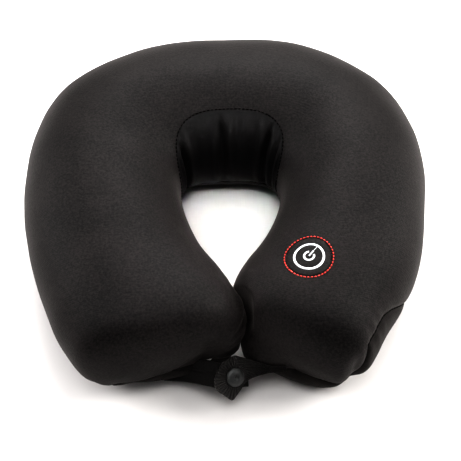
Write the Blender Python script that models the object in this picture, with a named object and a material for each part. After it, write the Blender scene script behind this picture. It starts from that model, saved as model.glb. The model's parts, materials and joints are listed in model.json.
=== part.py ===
"""U-shaped travel neck pillow with a battery vibration massager in its right arm.

Frame: metres, +Z up, the pillow lies on z = 0, the open end of the U faces -Y,
the power button is in the +X arm.  Every size that drives the part is named below.
"""
import math

import bmesh
import bpy
import numpy as np
from mathutils import Matrix, Vector
from mathutils.bvhtree import BVHTree

# ---------------------------------------------------------------- driving sizes
OVERALL_WIDTH = 0.300          # side to side
OVERALL_DEPTH = 0.306          # lobe fronts to the back of the collar
HEIGHT_BACK = 0.1065           # thickness at the back of the neck
HEIGHT_TIP = 0.081             # thickness at the lobe ends
FLAT_SINK = 0.0035             # how far the round underside is flattened
LOBE_GAP = 0.003               # free gap between the two lobe ends
FABRIC = 0.0015                # thickness of a cover panel with its lining
CLEAR = 0.0003                 # free gap between pieces that touch

PATCH_DIAMETER = 0.0300        # power patch inside the stitched ring
BUTTON_DIAMETER = 0.0220
BUTTON_TRAVEL = 0.0015
MODULE_LENGTH = 0.096
MODULE_WIDTH = 0.042
MODULE_HEIGHT = 0.032
WALL = 0.0016                  # moulded wall of the massage unit
CELL_DIAMETER = 0.0145         # AA cell
CELL_LENGTH = 0.0505
MOTOR_DIAMETER = 0.0160
MOTOR_LENGTH = 0.0200
STRAP_LEFT_WIDTH = 0.0175
STRAP_LEFT_THICK = 0.0016
STRAP_RIGHT_THICK = 0.0018
SNAP_DIAMETER = 0.0127
ZIP_LENGTH = 0.080
ZIP_SLOT_WIDTH = 0.0092
ZIP_TAPE_OUTER = 0.0095

# ---------------------------------------------------------------- shape of the U
SX = OVERALL_WIDTH / 0.300
SY = OVERALL_DEPTH / 0.306
SW = 0.5 * (SX + SY)
# outer and inner limits of the right half, back of the collar to the lobe end
OUTER_X = [0.0, 0.0616, 0.1290, 0.1503, 0.1425, 0.1295, 0.1130, 0.0990, 0.0900]
OUTER_Y = [0.1525, 0.1460, 0.1000, 0.0241, -0.0369, -0.0844, -0.1175, -0.1400, -0.1580]
INNER_X = [0.0, 0.0220, 0.0360, 0.0385, 0.0350, 0.0265, 0.0170, 0.0030, -0.0150]
INNER_Y = [0.0240, 0.0225, 0.0125, -0.0020, -0.0190, -0.0400, -0.0580, -0.0820, -0.1080]
END_RADIUS = 0.0437 * SW
END_POWER = 3.3
POWER_TOP = 2.16
POWER_LOW = 2.11
ARM_ROWS = 11
BACK_ROWS = 10
PHI_OUT = -24.0                # outer seam, degrees round the section from outside
PHI_LOW = 207.0                # inner lower seam
PHI_NECK = 131.0               # top seam of the neck panel
NECK_HALF = 0.142              # half length of the neck panel, share of the U
N_TOP = 9
N_NECK = 4
N_LOW = 7


def knots(values, mirror):
    """Full station list, lobe end to lobe end, from the stations of the right half."""
    right = np.array(values)
    left = right[:0:-1] * mirror
    return np.concatenate([left, right])


def spline(values, t):
    """Cubic through evenly spaced stations, t in 0..1 (third derivative runs on at the ends)."""
    y = np.asarray(values, float)
    n = len(y) - 1
    h = 1.0 / n
    a = np.zeros((n + 1, n + 1))
    r = np.zeros(n + 1)
    for i in range(1, n):
        a[i, i - 1:i + 2] = (1.0, 4.0, 1.0)
        r[i] = 6.0 * (y[i - 1] - 2.0 * y[i] + y[i + 1]) / (h * h)
    a[0, 0:3] = (1.0, -2.0, 1.0)
    a[n, n - 2:n + 1] = (1.0, -2.0, 1.0)
    m = np.linalg.solve(a, r)
    t = np.asarray(t, float)
    k = np.clip((t / h).astype(int), 0, n - 1)
    u = t - k * h
    b = (y[k + 1] - y[k]) / h - h * (2.0 * m[k] + m[k + 1]) / 6.0
    return y[k] + b * u + m[k] * u * u / 2.0 + (m[k + 1] - m[k]) * u ** 3 / (6.0 * h)


OUT_X = knots(OUTER_X, -1.0) * SX
OUT_Y = knots(OUTER_Y, 1.0) * SY
IN_X = knots(INNER_X, -1.0) * SX
IN_Y = knots(INNER_Y, 1.0) * SY
LINE_X = 0.5 * (OUT_X + IN_X)
LINE_Y = 0.5 * (OUT_Y + IN_Y)
FINE = np.linspace(0.0, 1.0, 801)
FINE_X = spline(LINE_X, FINE)
FINE_Y = spline(LINE_Y, FINE)
ARC = np.concatenate([[0.0], np.cumsum(np.hypot(np.diff(FINE_X), np.diff(FINE_Y)))])
LENGTH = ARC[-1]


def half_height(t):
    s = np.abs(t - 0.5) * 2.0
    return 0.5 * (HEIGHT_BACK - (HEIGHT_BACK - HEIGHT_TIP) * np.sin(0.5 * math.pi * s) ** 2)


def phi_lines(t, cut=0.0):
    """Section angles of one row; cut opens the seams by that angle."""
    away = abs(t - 0.5) / NECK_HALF
    neck = PHI_NECK + 16.0 * min(1.0, away) ** 6
    top = np.linspace(PHI_OUT, neck, N_TOP + 1)
    side = np.linspace(neck, PHI_LOW, N_NECK + 1)
    low = np.linspace(PHI_LOW, 360.0 + PHI_OUT, N_LOW + 1)
    return top, side, low


def row_shares():
    """Row positions as shares of the arc length, closer together at the lobe ends."""
    near = np.array([0.0, 0.0006, 0.0028, 0.0070, 0.0135, 0.0225, 0.0335]) / 0.5967
    first = 0.0450 / 0.5967
    left = 0.5 - NECK_HALF
    arm = np.linspace(first, left, ARM_ROWS + 1)
    back = np.linspace(left, 1.0 - left, BACK_ROWS + 1)
    half = np.concatenate([near, arm])
    s = np.concatenate([half[:-1], back, (1.0 - half)[::-1][1:]])
    return s, len(half) - 1


SHARES, NECK_ROW = row_shares()


def surface_point(share, phi, depth):
    """Point of the cover, share along the U, phi round the section, depth inwards."""
    phi = np.asarray(phi, float)
    arc = depth + (LENGTH - 2.0 * depth) * share
    t = float(np.interp(arc, ARC, FINE))
    vx = 0.5 * float(spline(OUT_X - IN_X, t))
    vy = 0.5 * float(spline(OUT_Y - IN_Y, t))
    q = math.hypot(vx, vy)
    nx, ny = vx / q, vy / q
    end = END_RADIUS - depth
    near = min(arc, LENGTH - arc) - depth
    k = max(0.0, 1.0 - min(1.0, max(0.0, 1.0 - near / end)) ** END_POWER) ** (1.0 / END_POWER)
    k = max(k, 0.03)
    c = np.cos(np.radians(phi))
    s = np.sin(np.radians(phi))
    power = np.where(s < 0.0, POWER_LOW, POWER_TOP)
    cu = np.sign(c) * np.abs(c) ** (2.0 / power)
    su = np.sign(s) * np.abs(s) ** (2.0 / power)
    w = (q - depth) * k
    full = 2.0 * float(half_height(t))
    mid = 0.5 * (full - FLAT_SINK)
    half = 0.5 * (full + FLAT_SINK) - depth
    x = float(spline(LINE_X, t)) + nx * cu * w
    y = float(spline(LINE_Y, t)) + ny * cu * w
    z = np.maximum(mid + half * su * k ** 0.8, depth)
    edge = 0.5 * LOBE_GAP + depth
    if share > 0.5:
        x = np.maximum(x, edge) if share > 0.70 else x
    else:
        x = np.minimum(x, -edge) if share < 0.30 else x
    return np.stack([x, y, z], -1)


# ---------------------------------------------------------------- mesh helpers
def clear_scene():
    for ob in list(bpy.data.objects):
        bpy.data.objects.remove(ob, do_unlink=True)


def paint(ob, colour, rough, metal=0.0):
    mat = bpy.data.materials.new(ob.name + "_mat")
    mat.use_nodes = True
    bsdf = mat.node_tree.nodes["Principled BSDF"]
    bsdf.inputs["Base Color"].default_value = (*colour, 1.0)
    bsdf.inputs["Roughness"].default_value = rough
    bsdf.inputs["Metallic"].default_value = metal
    ob.data.materials.clear()
    ob.data.materials.append(mat)
    return ob


def make(name, verts, faces, matrix=None):
    mesh = bpy.data.meshes.new(name)
    if matrix is not None:
        verts = [matrix @ Vector(v) for v in verts]
    mesh.from_pydata([tuple(v) for v in verts], [], faces)
    bm = bmesh.new()
    bm.from_mesh(mesh)
    bmesh.ops.recalc_face_normals(bm, faces=bm.faces)
    bm.to_mesh(mesh)
    bm.free()
    mesh.validate()
    ob = bpy.data.objects.new(name, mesh)
    bpy.context.scene.collection.objects.link(ob)
    return ob


def round_off(ob, degrees=35.0):
    bpy.ops.object.select_all(action="DESELECT")
    ob.select_set(True)
    bpy.context.view_layer.objects.active = ob
    bpy.ops.object.shade_smooth()
    ob.data.set_sharp_from_angle(angle=math.radians(degrees))
    return ob


def box_data(x0, x1, y0, y1, z0, z1):
    v = [(x0, y0, z0), (x1, y0, z0), (x1, y1, z0), (x0, y1, z0)]
    v += [(x0, y0, z1), (x1, y0, z1), (x1, y1, z1), (x0, y1, z1)]
    f = [(0, 3, 2, 1), (4, 5, 6, 7), (0, 1, 5, 4), (1, 2, 6, 5), (2, 3, 7, 6), (3, 0, 4, 7)]
    return v, f


def box(name, x0, x1, y0, y1, z0, z1, matrix=None):
    v, f = box_data(x0, x1, y0, y1, z0, z1)
    return make(name, v, f, matrix)


def prism(name, outline, z0, z1, matrix=None):
    """Outline of (x, y) points drawn up from z0 to z1."""
    n = len(outline)
    v = [(x, y, z0) for x, y in outline] + [(x, y, z1) for x, y in outline]
    f = [tuple(range(n - 1, -1, -1)), tuple(range(n, 2 * n))]
    f += [(i, (i + 1) % n, n + (i + 1) % n, n + i) for i in range(n)]
    return make(name, v, f, matrix)


def round_rect(length, width, radius, steps=3):
    pts = []
    for sx, sy, a0 in ((1, 1, 0), (-1, 1, 90), (-1, -1, 180), (1, -1, 270)):
        for k in range(steps + 1):
            a = math.radians(a0 + 90.0 * k / steps)
            cx = sx * (0.5 * length - radius)
            cy = sy * (0.5 * width - radius)
            pts.append((cx + radius * math.cos(a), cy + radius * math.sin(a)))
    return pts


def lathe(name, profile, seg, matrix=None):
    """Closed body turned round Z from (radius, z) pairs that start and end on the axis."""
    v, f, rings = [], [], []
    for r, z in profile:
        if r < 1e-7:
            rings.append([len(v)])
            v.append((0.0, 0.0, z))
        else:
            rings.append(list(range(len(v), len(v) + seg)))
            for k in range(seg):
                a = 2.0 * math.pi * k / seg
                v.append((r * math.cos(a), r * math.sin(a), z))
    pairs = list(zip(rings[:-1], rings[1:]))
    if len(rings[0]) > 1:
        pairs.append((rings[-1], rings[0]))
    for a, b in pairs:
        for k in range(seg):
            m = (k + 1) % seg
            if len(a) == 1 and len(b) > 1:
                f.append((a[0], b[k], b[m]))
            elif len(b) == 1 and len(a) > 1:
                f.append((a[k], b[0], a[m]))
            elif len(a) > 1:
                f.append((a[k], b[k], b[m], a[m]))
    return make(name, v, f, matrix)


def tube_data(points, radius, seg):
    pts = [Vector(p) for p in points]
    v, f = [], []
    for i, p in enumerate(pts):
        t = (pts[min(i + 1, len(pts) - 1)] - pts[max(i - 1, 0)]).normalized()
        ref = Vector((0, 0, 1)) if abs(t.z) < 0.9 else Vector((1, 0, 0))
        a = t.cross(ref).normalized()
        b = t.cross(a).normalized()
        for k in range(seg):
            w = 2.0 * math.pi * k / seg
            v.append(p + a * (radius * math.cos(w)) + b * (radius * math.sin(w)))
    for i in range(len(pts) - 1):
        for k in range(seg):
            m = (k + 1) % seg
            f.append((i * seg + k, i * seg + m, (i + 1) * seg + m, (i + 1) * seg + k))
    f.append(tuple(range(seg - 1, -1, -1)))
    last = (len(pts) - 1) * seg
    f.append(tuple(range(last, last + seg)))
    return v, f


def group(name, bodies, matrix=None):
    v, f = [], []
    for bv, bf in bodies:
        base = len(v)
        v += [tuple(p) for p in bv]
        f += [tuple(i + base for i in face) for face in bf]
    return make(name, v, f, matrix)


def combine(ob, tool, operation):
    mod = ob.modifiers.new("cut", "BOOLEAN")
    mod.operation = operation
    mod.solver = "EXACT"
    mod.object = tool
    deps = bpy.context.evaluated_depsgraph_get()
    mesh = bpy.data.meshes.new_from_object(ob.evaluated_get(deps))
    ob.modifiers.clear()
    old = ob.data
    ob.data = mesh
    bpy.data.meshes.remove(old)
    mesh.name = ob.name
    bpy.data.objects.remove(tool, do_unlink=True)
    return ob


def cut(ob, tool):
    return combine(ob, tool, "DIFFERENCE")


def join(ob, tool):
    return combine(ob, tool, "UNION")


def set_origin(ob, point):
    p = Vector(point)
    ob.data.transform(Matrix.Translation(-p))
    ob.location = p
    return ob


# ---------------------------------------------------------------- soft body
def ring_closed(depth):
    """Closed surface of the whole U at one depth."""
    v, f = [], []
    count = N_TOP + N_NECK + N_LOW
    for s in SHARES:
        top, side, low = phi_lines(s)
        phi = np.concatenate([top[:-1], side[:-1], low[:-1]])
        v += [tuple(p) for p in surface_point(s, phi, depth)]
    rows = len(SHARES)
    for i in range(rows - 1):
        for j in range(count):
            m = (j + 1) % count
            f.append((i * count + j, i * count + m, (i + 1) * count + m))
            f.append((i * count + j, (i + 1) * count + m, (i + 1) * count + j))
    for i in (0, rows - 1):
        ring = [v[i * count + j] for j in range(count)]
        v.append(tuple(np.mean(ring, axis=0)))
        for j in range(count):
            f.append((i * count + j, len(v) - 1, i * count + (j + 1) % count))
    return v, f


def shell(name, cells, point):
    """Sheet of cover fabric: cells are corner key quads, point(key, depth) gives corners."""
    keys = {}
    v = []

    def index(key, depth):
        tag = (key, depth)
        if tag not in keys:
            keys[tag] = len(v)
            v.append(tuple(point(key, depth)))
        return keys[tag]

    faces = []
    edges = {}
    for cell in cells:
        for n in range(1, len(cell) - 1):
            tri = (cell[0], cell[n], cell[n + 1])
            faces.append(tuple(index(k, 0.0) for k in tri))
            faces.append(tuple(index(k, FABRIC) for k in reversed(tri)))
        for a, b in zip(cell, cell[1:] + cell[:1]):
            edges[(a, b)] = True
    for a, b in edges:
        if (b, a) not in edges:
            faces.append((index(b, 0.0), index(a, 0.0), index(a, FABRIC), index(b, FABRIC)))
    return make(name, v, faces)


def seam_angle(share):
    """Half of the seam gap as an angle of the section."""
    return math.degrees(0.5 * CLEAR / (0.040 * SW)) + 0.05


ROW_GAP = 0.5 * CLEAR / LENGTH + 0.00012


def top_panel():
    rows = len(SHARES)
    first, last = NECK_ROW, rows - 1 - NECK_ROW
    whole = N_TOP + N_NECK + N_LOW

    def phi_of(row, j, share):
        top, side, low = phi_lines(share)
        all_phi = np.concatenate([top[:-1], side[:-1], low[:-1]])
        g = seam_angle(share)
        value = all_phi[j % whole]
        inside = first <= row <= last
        if j % whole == 0:
            value += g
        elif j == N_TOP and inside:
            value -= g
        elif j == N_TOP + N_NECK:
            value -= g
        return value

    def point(key, depth):
        kind, row, j = key
        if kind == "pole":
            s = SHARES[row]
            low = surface_point(s, np.arange(0.0, 360.0, 20.0), depth)
            return low.mean(axis=0)
        share = SHARES[row]
        if kind == "L":
            share = SHARES[row] - ROW_GAP
        if kind == "R":
            share = SHARES[row] + ROW_GAP
        return surface_point(share, phi_of(row, j, SHARES[row]), depth)

    def key(row, j):
        if j > N_TOP and row == first:
            return ("L", row, j)
        if j > N_TOP and row == last:
            return ("R", row, j)
        return ("n", row, j)

    cells = []
    for i in range(rows - 1):
        end = i == 0 or i == rows - 2
        neck = first <= i < last
        limit = whole if end else (N_TOP if neck else N_TOP + N_NECK)
        for j in range(limit):
            m = (j + 1) % whole
            cells.append([key(i, j), key(i, m), key(i + 1, m), key(i + 1, j)])
    for i in (0, rows - 1):
        for j in range(whole):
            m = (j + 1) % whole
            tri = [("pole", i, 0), key(i, m), key(i, j)]
            if i:
                tri = [("pole", i, 0), key(i, j), key(i, m)]
            cells.append(tri)
    return shell("top_panel", cells, point)


def bottom_panel():
    rows = len(SHARES)

    def point(key, depth):
        row, j = key
        share = SHARES[row]
        if row == 1:
            share += ROW_GAP
        if row == rows - 2:
            share -= ROW_GAP
        low = phi_lines(SHARES[row])[2].copy()
        g = seam_angle(share)
        low[0] += g
        low[-1] -= g
        return surface_point(share, low[j], depth)

    cells = []
    for i in range(1, rows - 2):
        for j in range(N_LOW):
            cells.append([(i, j), (i, j + 1), (i + 1, j + 1), (i + 1, j)])
    return shell("bottom_panel", cells, point)


def neck_panel():
    first, last = NECK_ROW, len(SHARES) - 1 - NECK_ROW

    def point(key, depth):
        row, j = key
        share = SHARES[row]
        if row == first:
            share += ROW_GAP
        if row == last:
            share -= ROW_GAP
        side = phi_lines(SHARES[row])[1].copy()
        g = seam_angle(share)
        side[0] += g
        side[-1] -= g
        return surface_point(share, side[j], depth)

    cells = []
    for i in range(first, last):
        for j in range(N_NECK):
            cells.append([(i, j), (i, j + 1), (i + 1, j + 1), (i + 1, j)])
    return shell("neck_panel", cells, point)


clear_scene()
top = top_panel()
bottom = bottom_panel()
neck = neck_panel()
filling = make("bead_filling", *ring_closed(FABRIC + CLEAR))

# ---------------------------------------------------------------- where the unit sits
BUTTON_X = 0.0525 * SX
BUTTON_Y = -0.0885 * SY
NEAR = int(np.argmin(np.hypot(FINE_X - BUTTON_X, FINE_Y - BUTTON_Y)))
BACK_SHIFT = 0.0300            # unit centre behind the button, along the arm
CENTRE_ARC = ARC[NEAR] - BACK_SHIFT


def line_at(arc):
    t = np.interp(arc, ARC, FINE)
    return Vector((float(spline(LINE_X, t)), float(spline(LINE_Y, t)), 0.0))


chord = line_at(CENTRE_ARC - 0.035) - line_at(CENTRE_ARC + 0.035)
YAW = math.atan2(chord.y, chord.x)
ACROSS = Vector((-math.sin(YAW), math.cos(YAW), 0.0))
MIDDLE = 0.5 * (line_at(CENTRE_ARC) + 0.5 * (line_at(CENTRE_ARC - 0.035) + line_at(CENTRE_ARC + 0.035)))
BUTTON_RAW = ACROSS.dot(Vector((BUTTON_X, BUTTON_Y, 0.0)) - MIDDLE)
HOME = MIDDLE + ACROSS * (0.5 * BUTTON_RAW)
UNIT = Matrix.Translation(HOME) @ Matrix.Rotation(YAW, 4, "Z")
LOCAL_BUTTON = UNIT.inverted() @ Vector((BUTTON_X, BUTTON_Y, 0.0))
BX = LOCAL_BUTTON.x
BY = LOCAL_BUTTON.y

skin_v, skin_f = ring_closed(0.0)
SKIN = BVHTree.FromPolygons([Vector(p) for p in skin_v], skin_f)


def skin_height(x, y):
    hit = SKIN.ray_cast(Vector((x, y, 1.0)), Vector((0, 0, -1)))
    return hit[0].z


def local_height(lx, ly):
    p = UNIT @ Vector((lx, ly, 0.0))
    return skin_height(p.x, p.y)


button_r = 0.5 * BUTTON_DIAMETER
patch_r = 0.5 * PATCH_DIAMETER
around = [i * math.pi / 6 for i in range(12)]
rim = [local_height(BX + button_r * math.cos(a), BY + button_r * math.sin(a)) for a in around]
BUTTON_TOP = min(rim) - FABRIC - CLEAR - 0.0002
corner_x = 0.5 * MODULE_LENGTH + 0.002
corner_y = 0.5 * MODULE_WIDTH + 0.002
corners = [local_height(sx * corner_x, sy * corner_y) for sx in (-1, 1) for sy in (-1, 1)]
UNIT_TOP = min(min(corners) - 0.0095, BUTTON_TOP - 0.0080)
UNIT_LOW = UNIT_TOP - MODULE_HEIGHT
SPLIT = UNIT_LOW + 0.5 * MODULE_HEIGHT
TUBE_OUT = button_r + 0.0030
TUBE_TOP = BUTTON_TOP - BUTTON_TRAVEL - 0.0010


# ---------------------------------------------------------------- patch in the top panel
def disc_on_skin(name, radius_in, radius_out, z_up, z_down, rings, seg):
    """Round sheet that follows the cover, between two offsets from the skin."""
    def at(r, a, dz):
        lx = BX + r * math.cos(a)
        ly = BY + r * math.sin(a)
        p = UNIT @ Vector((lx, ly, 0.0))
        return (p.x, p.y, skin_height(p.x, p.y) + dz)

    radii = np.linspace(radius_in, radius_out, rings + 1)
    v, f = [], []
    for dz in (z_up, z_down):
        for r in radii:
            if r < 1e-6:
                v.append(at(0.0, 0.0, dz))
            else:
                v += [at(r, 2 * math.pi * k / seg, dz) for k in range(seg)]
    hollow = radius_in > 1e-6
    per = (rings + 1) * seg if hollow else 1 + rings * seg

    def index(layer, ring, k):
        if hollow:
            return layer * per + ring * seg + k % seg
        return layer * per + (0 if ring == 0 else 1 + (ring - 1) * seg + k % seg)

    for layer in (0, 1):
        for ring in range(rings):
            for k in range(seg):
                q = [index(layer, ring, k), index(layer, ring + 1, k)]
                q += [index(layer, ring + 1, k + 1), index(layer, ring, k + 1)]
                if not hollow and ring == 0:
                    q = q[:3]
                f.append(tuple(q if layer == 0 else q[::-1]))
    for k in range(seg):
        f.append((index(0, rings, k), index(1, rings, k), index(1, rings, k + 1), index(0, rings, k + 1)))
        if hollow:
            f.append((index(0, 0, k + 1), index(1, 0, k + 1), index(1, 0, k), index(0, 0, k)))
    return make(name, v, f)


def post(x, y, r, z0, z1, seg=20):
    pts = [(r * math.cos(2 * math.pi * k / seg) + x, r * math.sin(2 * math.pi * k / seg) + y)
           for k in range(seg)]
    return prism("tool", pts, z0, z1, UNIT)


cut(top, post(BX, BY, patch_r, BUTTON_TOP - 0.020, BUTTON_TOP + 0.020, 24))
patch = disc_on_skin("power_patch", 0.0, patch_r - CLEAR, 0.0, -FABRIC, 2, 24)


def flat_ring(name, r_in, r_out, seg):
    profile = [(r_in, 0.0002), (r_out, 0.0002), (r_out, 0.0006), (r_in, 0.0006)]
    return lathe(name, profile, seg)


# power mark: two rings tied by one bar, flat first, then laid on the patch
mark_dir = math.radians(48.0) - YAW
symbol = flat_ring("power_symbol", 0.0090, 0.0108, 24)
join(symbol, flat_ring("tool", 0.0032, 0.0047, 16))
join(symbol, box("tool", 0.0006, 0.0095, -0.0005, 0.0005, 0.0002, 0.0006,
                 Matrix.Rotation(mark_dir, 4, "Z")))
for vert in symbol.data.vertices:
    spot = UNIT @ Vector((BX + vert.co.x, BY + vert.co.y, 0.0))
    vert.co = (spot.x, spot.y, skin_height(spot.x, spot.y) + vert.co.z)

# thread ring sewn just outside the patch
stitch = flat_ring("stitch_ring", patch_r + 0.0004, patch_r + 0.0013, 36)
for vert in stitch.data.vertices:
    spot = UNIT @ Vector((BX + vert.co.x, BY + vert.co.y, 0.0))
    vert.co = (spot.x, spot.y, skin_height(spot.x, spot.y) + vert.co.z + 0.0002)

# ---------------------------------------------------------------- hollow for the unit
POCKET = 0.0010
room = 0.0006
px = 0.5 * MODULE_LENGTH + room
py = 0.5 * MODULE_WIDTH + room
ZIP_Z = FABRIC + CLEAR
pocket_low = 0.0075
hole = prism("tool", round_rect(2 * (px + POCKET + CLEAR), 2 * (py + POCKET + CLEAR), 0.005),
             -0.01, UNIT_TOP + room + POCKET + CLEAR, UNIT)
cut(filling, hole)
cut(filling, post(BX, BY, patch_r + 0.0005, UNIT_TOP - 0.002, BUTTON_TOP + 0.02, 24))
pocket = prism("module_pocket", round_rect(2 * (px + POCKET), 2 * (py + POCKET), 0.0045),
               pocket_low, UNIT_TOP + room + POCKET, UNIT)
cut(pocket, prism("tool", round_rect(2 * px, 2 * py, 0.0035), -0.01, UNIT_TOP + room, UNIT))
cut(pocket, post(BX, BY, TUBE_OUT + CLEAR, UNIT_TOP - 0.002, UNIT_TOP + 0.01, 24))

# ---------------------------------------------------------------- massage unit
outer = round_rect(MODULE_LENGTH, MODULE_WIDTH, 0.004)
inner = round_rect(MODULE_LENGTH - 2 * WALL, MODULE_WIDTH - 2 * WALL, 0.0026)
upper = prism("upper_housing", outer, SPLIT + 0.5 * CLEAR, UNIT_TOP, UNIT)
cut(upper, prism("tool", inner, SPLIT - 0.005, UNIT_TOP - WALL, UNIT))
join(upper, post(BX, BY, TUBE_OUT, UNIT_TOP - 0.5 * WALL, TUBE_TOP, 24))
cut(upper, post(BX, BY, button_r + CLEAR, UNIT_TOP, TUBE_TOP + 0.01, 24))
stem_r = 0.0040
cut(upper, post(BX, BY, stem_r + CLEAR, UNIT_TOP - 0.004, UNIT_TOP + 0.004, 16))
screw_x = 0.5 * MODULE_LENGTH - 0.0042
screw_y = 0.5 * MODULE_WIDTH - 0.0042
screw_places = [(sx * screw_x, sy * screw_y) for sx in (-1, 1) for sy in (-1, 1)]
for x, y in screw_places:
    join(upper, post(x, y, 0.0026, SPLIT + 0.5 * CLEAR + 0.0003, UNIT_TOP - 0.5 * WALL, 12))
    cut(upper, post(x, y, 0.0011 + CLEAR, SPLIT - 0.005, SPLIT + 0.0085, 10))

lower = prism("lower_housing", outer, UNIT_LOW, SPLIT - 0.5 * CLEAR, UNIT)
cut(lower, prism("tool", inner, UNIT_LOW + WALL, SPLIT + 0.01, UNIT))
for x, y in screw_places:
    join(lower, post(x, y, 0.0034, UNIT_LOW + 0.5 * WALL, SPLIT - 0.5 * CLEAR - 0.0003, 12))
    cut(lower, post(x, y, 0.0011 + CLEAR, UNIT_LOW - 0.01, SPLIT + 0.01, 10))
    cut(lower, post(x, y, 0.0021 + CLEAR, UNIT_LOW - 0.01, UNIT_LOW + 0.0060, 12))
bay_x0 = -0.5 * MODULE_LENGTH + 0.0095
bay_x1 = bay_x0 + CELL_LENGTH + 0.0065
bay_y = CELL_DIAMETER + 0.0016
floor_hole = box("tool", bay_x0, bay_x1, -bay_y, bay_y, UNIT_LOW - 0.01, UNIT_LOW + 0.01, UNIT)
cut(lower, floor_hole)
door_y = bay_y + 0.0010
door_x0 = bay_x0 - 0.0015
door_x1 = bay_x1 + 0.0015
door_top = UNIT_LOW - CLEAR
door_low = door_top - WALL
TURN_X = Matrix(((0, 0, 1, 0), (1, 0, 0, 0), (0, 1, 0, 0), (0, 0, 0, 1)))
for side in (-1, 1):
    ya = side * (door_y + CLEAR)
    yb = side * (door_y + CLEAR + 0.0018)
    yc = side * (door_y - 0.0014)
    hook = [(ya, UNIT_LOW + 0.0004), (yb, UNIT_LOW + 0.0004), (yb, door_low - 0.0018)]
    hook += [(yc, door_low - 0.0018), (yc, door_low - CLEAR), (ya, door_low - CLEAR)]
    join(lower, prism("tool", hook, bay_x0 + 0.0010, bay_x1 - 0.0010, UNIT @ TURN_X))
door = box("battery_door", door_x0, door_x1, -door_y, door_y, door_low, door_top, UNIT)
for k in range(4):
    gx = door_x1 - 0.006 - 0.003 * k
    join(door, box("tool", gx - 0.0006, gx + 0.0006, -0.007, 0.007, door_low - 0.0007,
                   door_low + 0.0005, UNIT))

# cells with their springs and contact plates
cell_z = UNIT_LOW + WALL + 0.0006 + 0.5 * CELL_DIAMETER
cell_x0 = bay_x0 + 0.0052
cell_r = 0.5 * CELL_DIAMETER
cell_y = cell_r + 0.0006
cells_made = []
for number, side in ((1, -1), (2, 1)):
    body = CELL_LENGTH - 0.0012
    profile = [(0, 0), (cell_r - 0.0005, 0), (cell_r, 0.0005), (cell_r, body - 0.0006)]
    profile += [(cell_r - 0.0006, body), (0.0027, body), (0.0027, CELL_LENGTH - 0.0001)]
    profile += [(0, CELL_LENGTH - 0.0001)]
    turn = Matrix.Rotation(math.radians(90), 4, "Y")
    if side > 0:
        turn = Matrix.Translation((CELL_LENGTH, 0, 0)) @ Matrix.Rotation(math.radians(-90), 4, "Y")
    place = UNIT @ Matrix.Translation((cell_x0, side * cell_y, cell_z)) @ turn
    cells_made.append(lathe("battery_%d" % number, profile, 20, place))


def coil(x0, x1, y, z, r0, r1, turns, wire):
    pts = []
    steps = int(turns * 8)
    for k in range(steps + 1):
        u = k / steps
        a = 2 * math.pi * turns * u
        r = r0 + (r1 - r0) * u
        pts.append((x0 + (x1 - x0) * u, y + r * math.cos(a), z + r * math.sin(a)))
    return tube_data(pts, wire, 5)


cell_x1 = cell_x0 + CELL_LENGTH
springs = []
for name, ends, sy, radii in (("battery_spring_1", (bay_x0 + 0.0018, cell_x0 - 0.0008), -1, (0.0046, 0.0030)),
                              ("battery_spring_2", (cell_x1 + 0.0008, cell_x1 + 0.0040), 1, (0.0030, 0.0046))):
    v, f = coil(ends[0], ends[1], sy * cell_y, cell_z, radii[0], radii[1], 2.5, 0.0004)
    springs.append(make(name, v, f, UNIT))
plate = 0.0004
low_z = cell_z - 0.0055
high_z = cell_z + 0.0060
bridge = box("contact_bridge", bay_x0 + 0.0006, bay_x0 + 0.0006 + plate, -cell_y - 0.0055,
             cell_y + 0.0055, low_z, high_z, UNIT)
contacts = []
for name, y0, y1 in (("contact_plus", -cell_y - 0.0055, -0.0012), ("contact_minus", 0.0012, cell_y + 0.0055)):
    contacts.append(box(name, cell_x1 + 0.0048, cell_x1 + 0.0048 + plate, y0, y1, low_z, high_z, UNIT))

# motor lying across the unit, with its off-centre weight
motor_r = 0.5 * MOTOR_DIAMETER
motor_x = 0.5 * MODULE_LENGTH - 0.0078 - motor_r
motor_z = UNIT_LOW + WALL + 0.0022 + motor_r
motor_y0 = -0.5 * MODULE_WIDTH + WALL + 0.0050
motor_y1 = motor_y0 + MOTOR_LENGTH
ACROSS_Y = Matrix.Rotation(math.radians(-90), 4, "X")
lay = UNIT @ Matrix.Translation((motor_x, motor_y0, motor_z)) @ ACROSS_Y
can_profile = [(0, 0), (motor_r, 0), (motor_r, MOTOR_LENGTH - 0.0008)]
can_profile += [(motor_r - 0.0008, MOTOR_LENGTH), (0.0030, MOTOR_LENGTH), (0.0030, MOTOR_LENGTH + 0.0012)]
can_profile += [(0.0010 + CLEAR, MOTOR_LENGTH + 0.0012), (0.0010 + CLEAR, MOTOR_LENGTH - 0.0060)]
can_profile += [(0, MOTOR_LENGTH - 0.0060)]
can = lathe("motor_can", can_profile, 20, lay)
end_cap = lathe("motor_end_cap", [(0, -0.0024), (motor_r - 0.0006, -0.0024), (motor_r - 0.0001, -0.0018),
                                  (motor_r - 0.0001, -CLEAR), (0, -CLEAR)], 20, lay)
shaft_end = 0.5 * MODULE_WIDTH - WALL - 0.0010 - motor_y0
shaft = lathe("motor_shaft", [(0, MOTOR_LENGTH - 0.0060 + CLEAR), (0.0010, MOTOR_LENGTH - 0.0060 + CLEAR),
                              (0.0010, shaft_end), (0, shaft_end)], 12, lay)
weight_z0 = MOTOR_LENGTH + 0.0022
weight_z1 = shaft_end - 0.0012
weight_r = motor_r - 0.0006
outline = [(weight_r * math.cos(a), weight_r * math.sin(a)) for a in np.linspace(math.pi, 2 * math.pi, 13)]
hub = [(0.0028 * math.cos(a), 0.0028 * math.sin(a)) for a in np.linspace(0, math.pi, 7)]
weight = prism("eccentric_weight", outline + hub, weight_z0, weight_z1, lay)
bore = [((0.0010 + 0.00015) * math.cos(k * math.pi / 6), (0.0010 + 0.00015) * math.sin(k * math.pi / 6))
        for k in range(12)]
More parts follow.
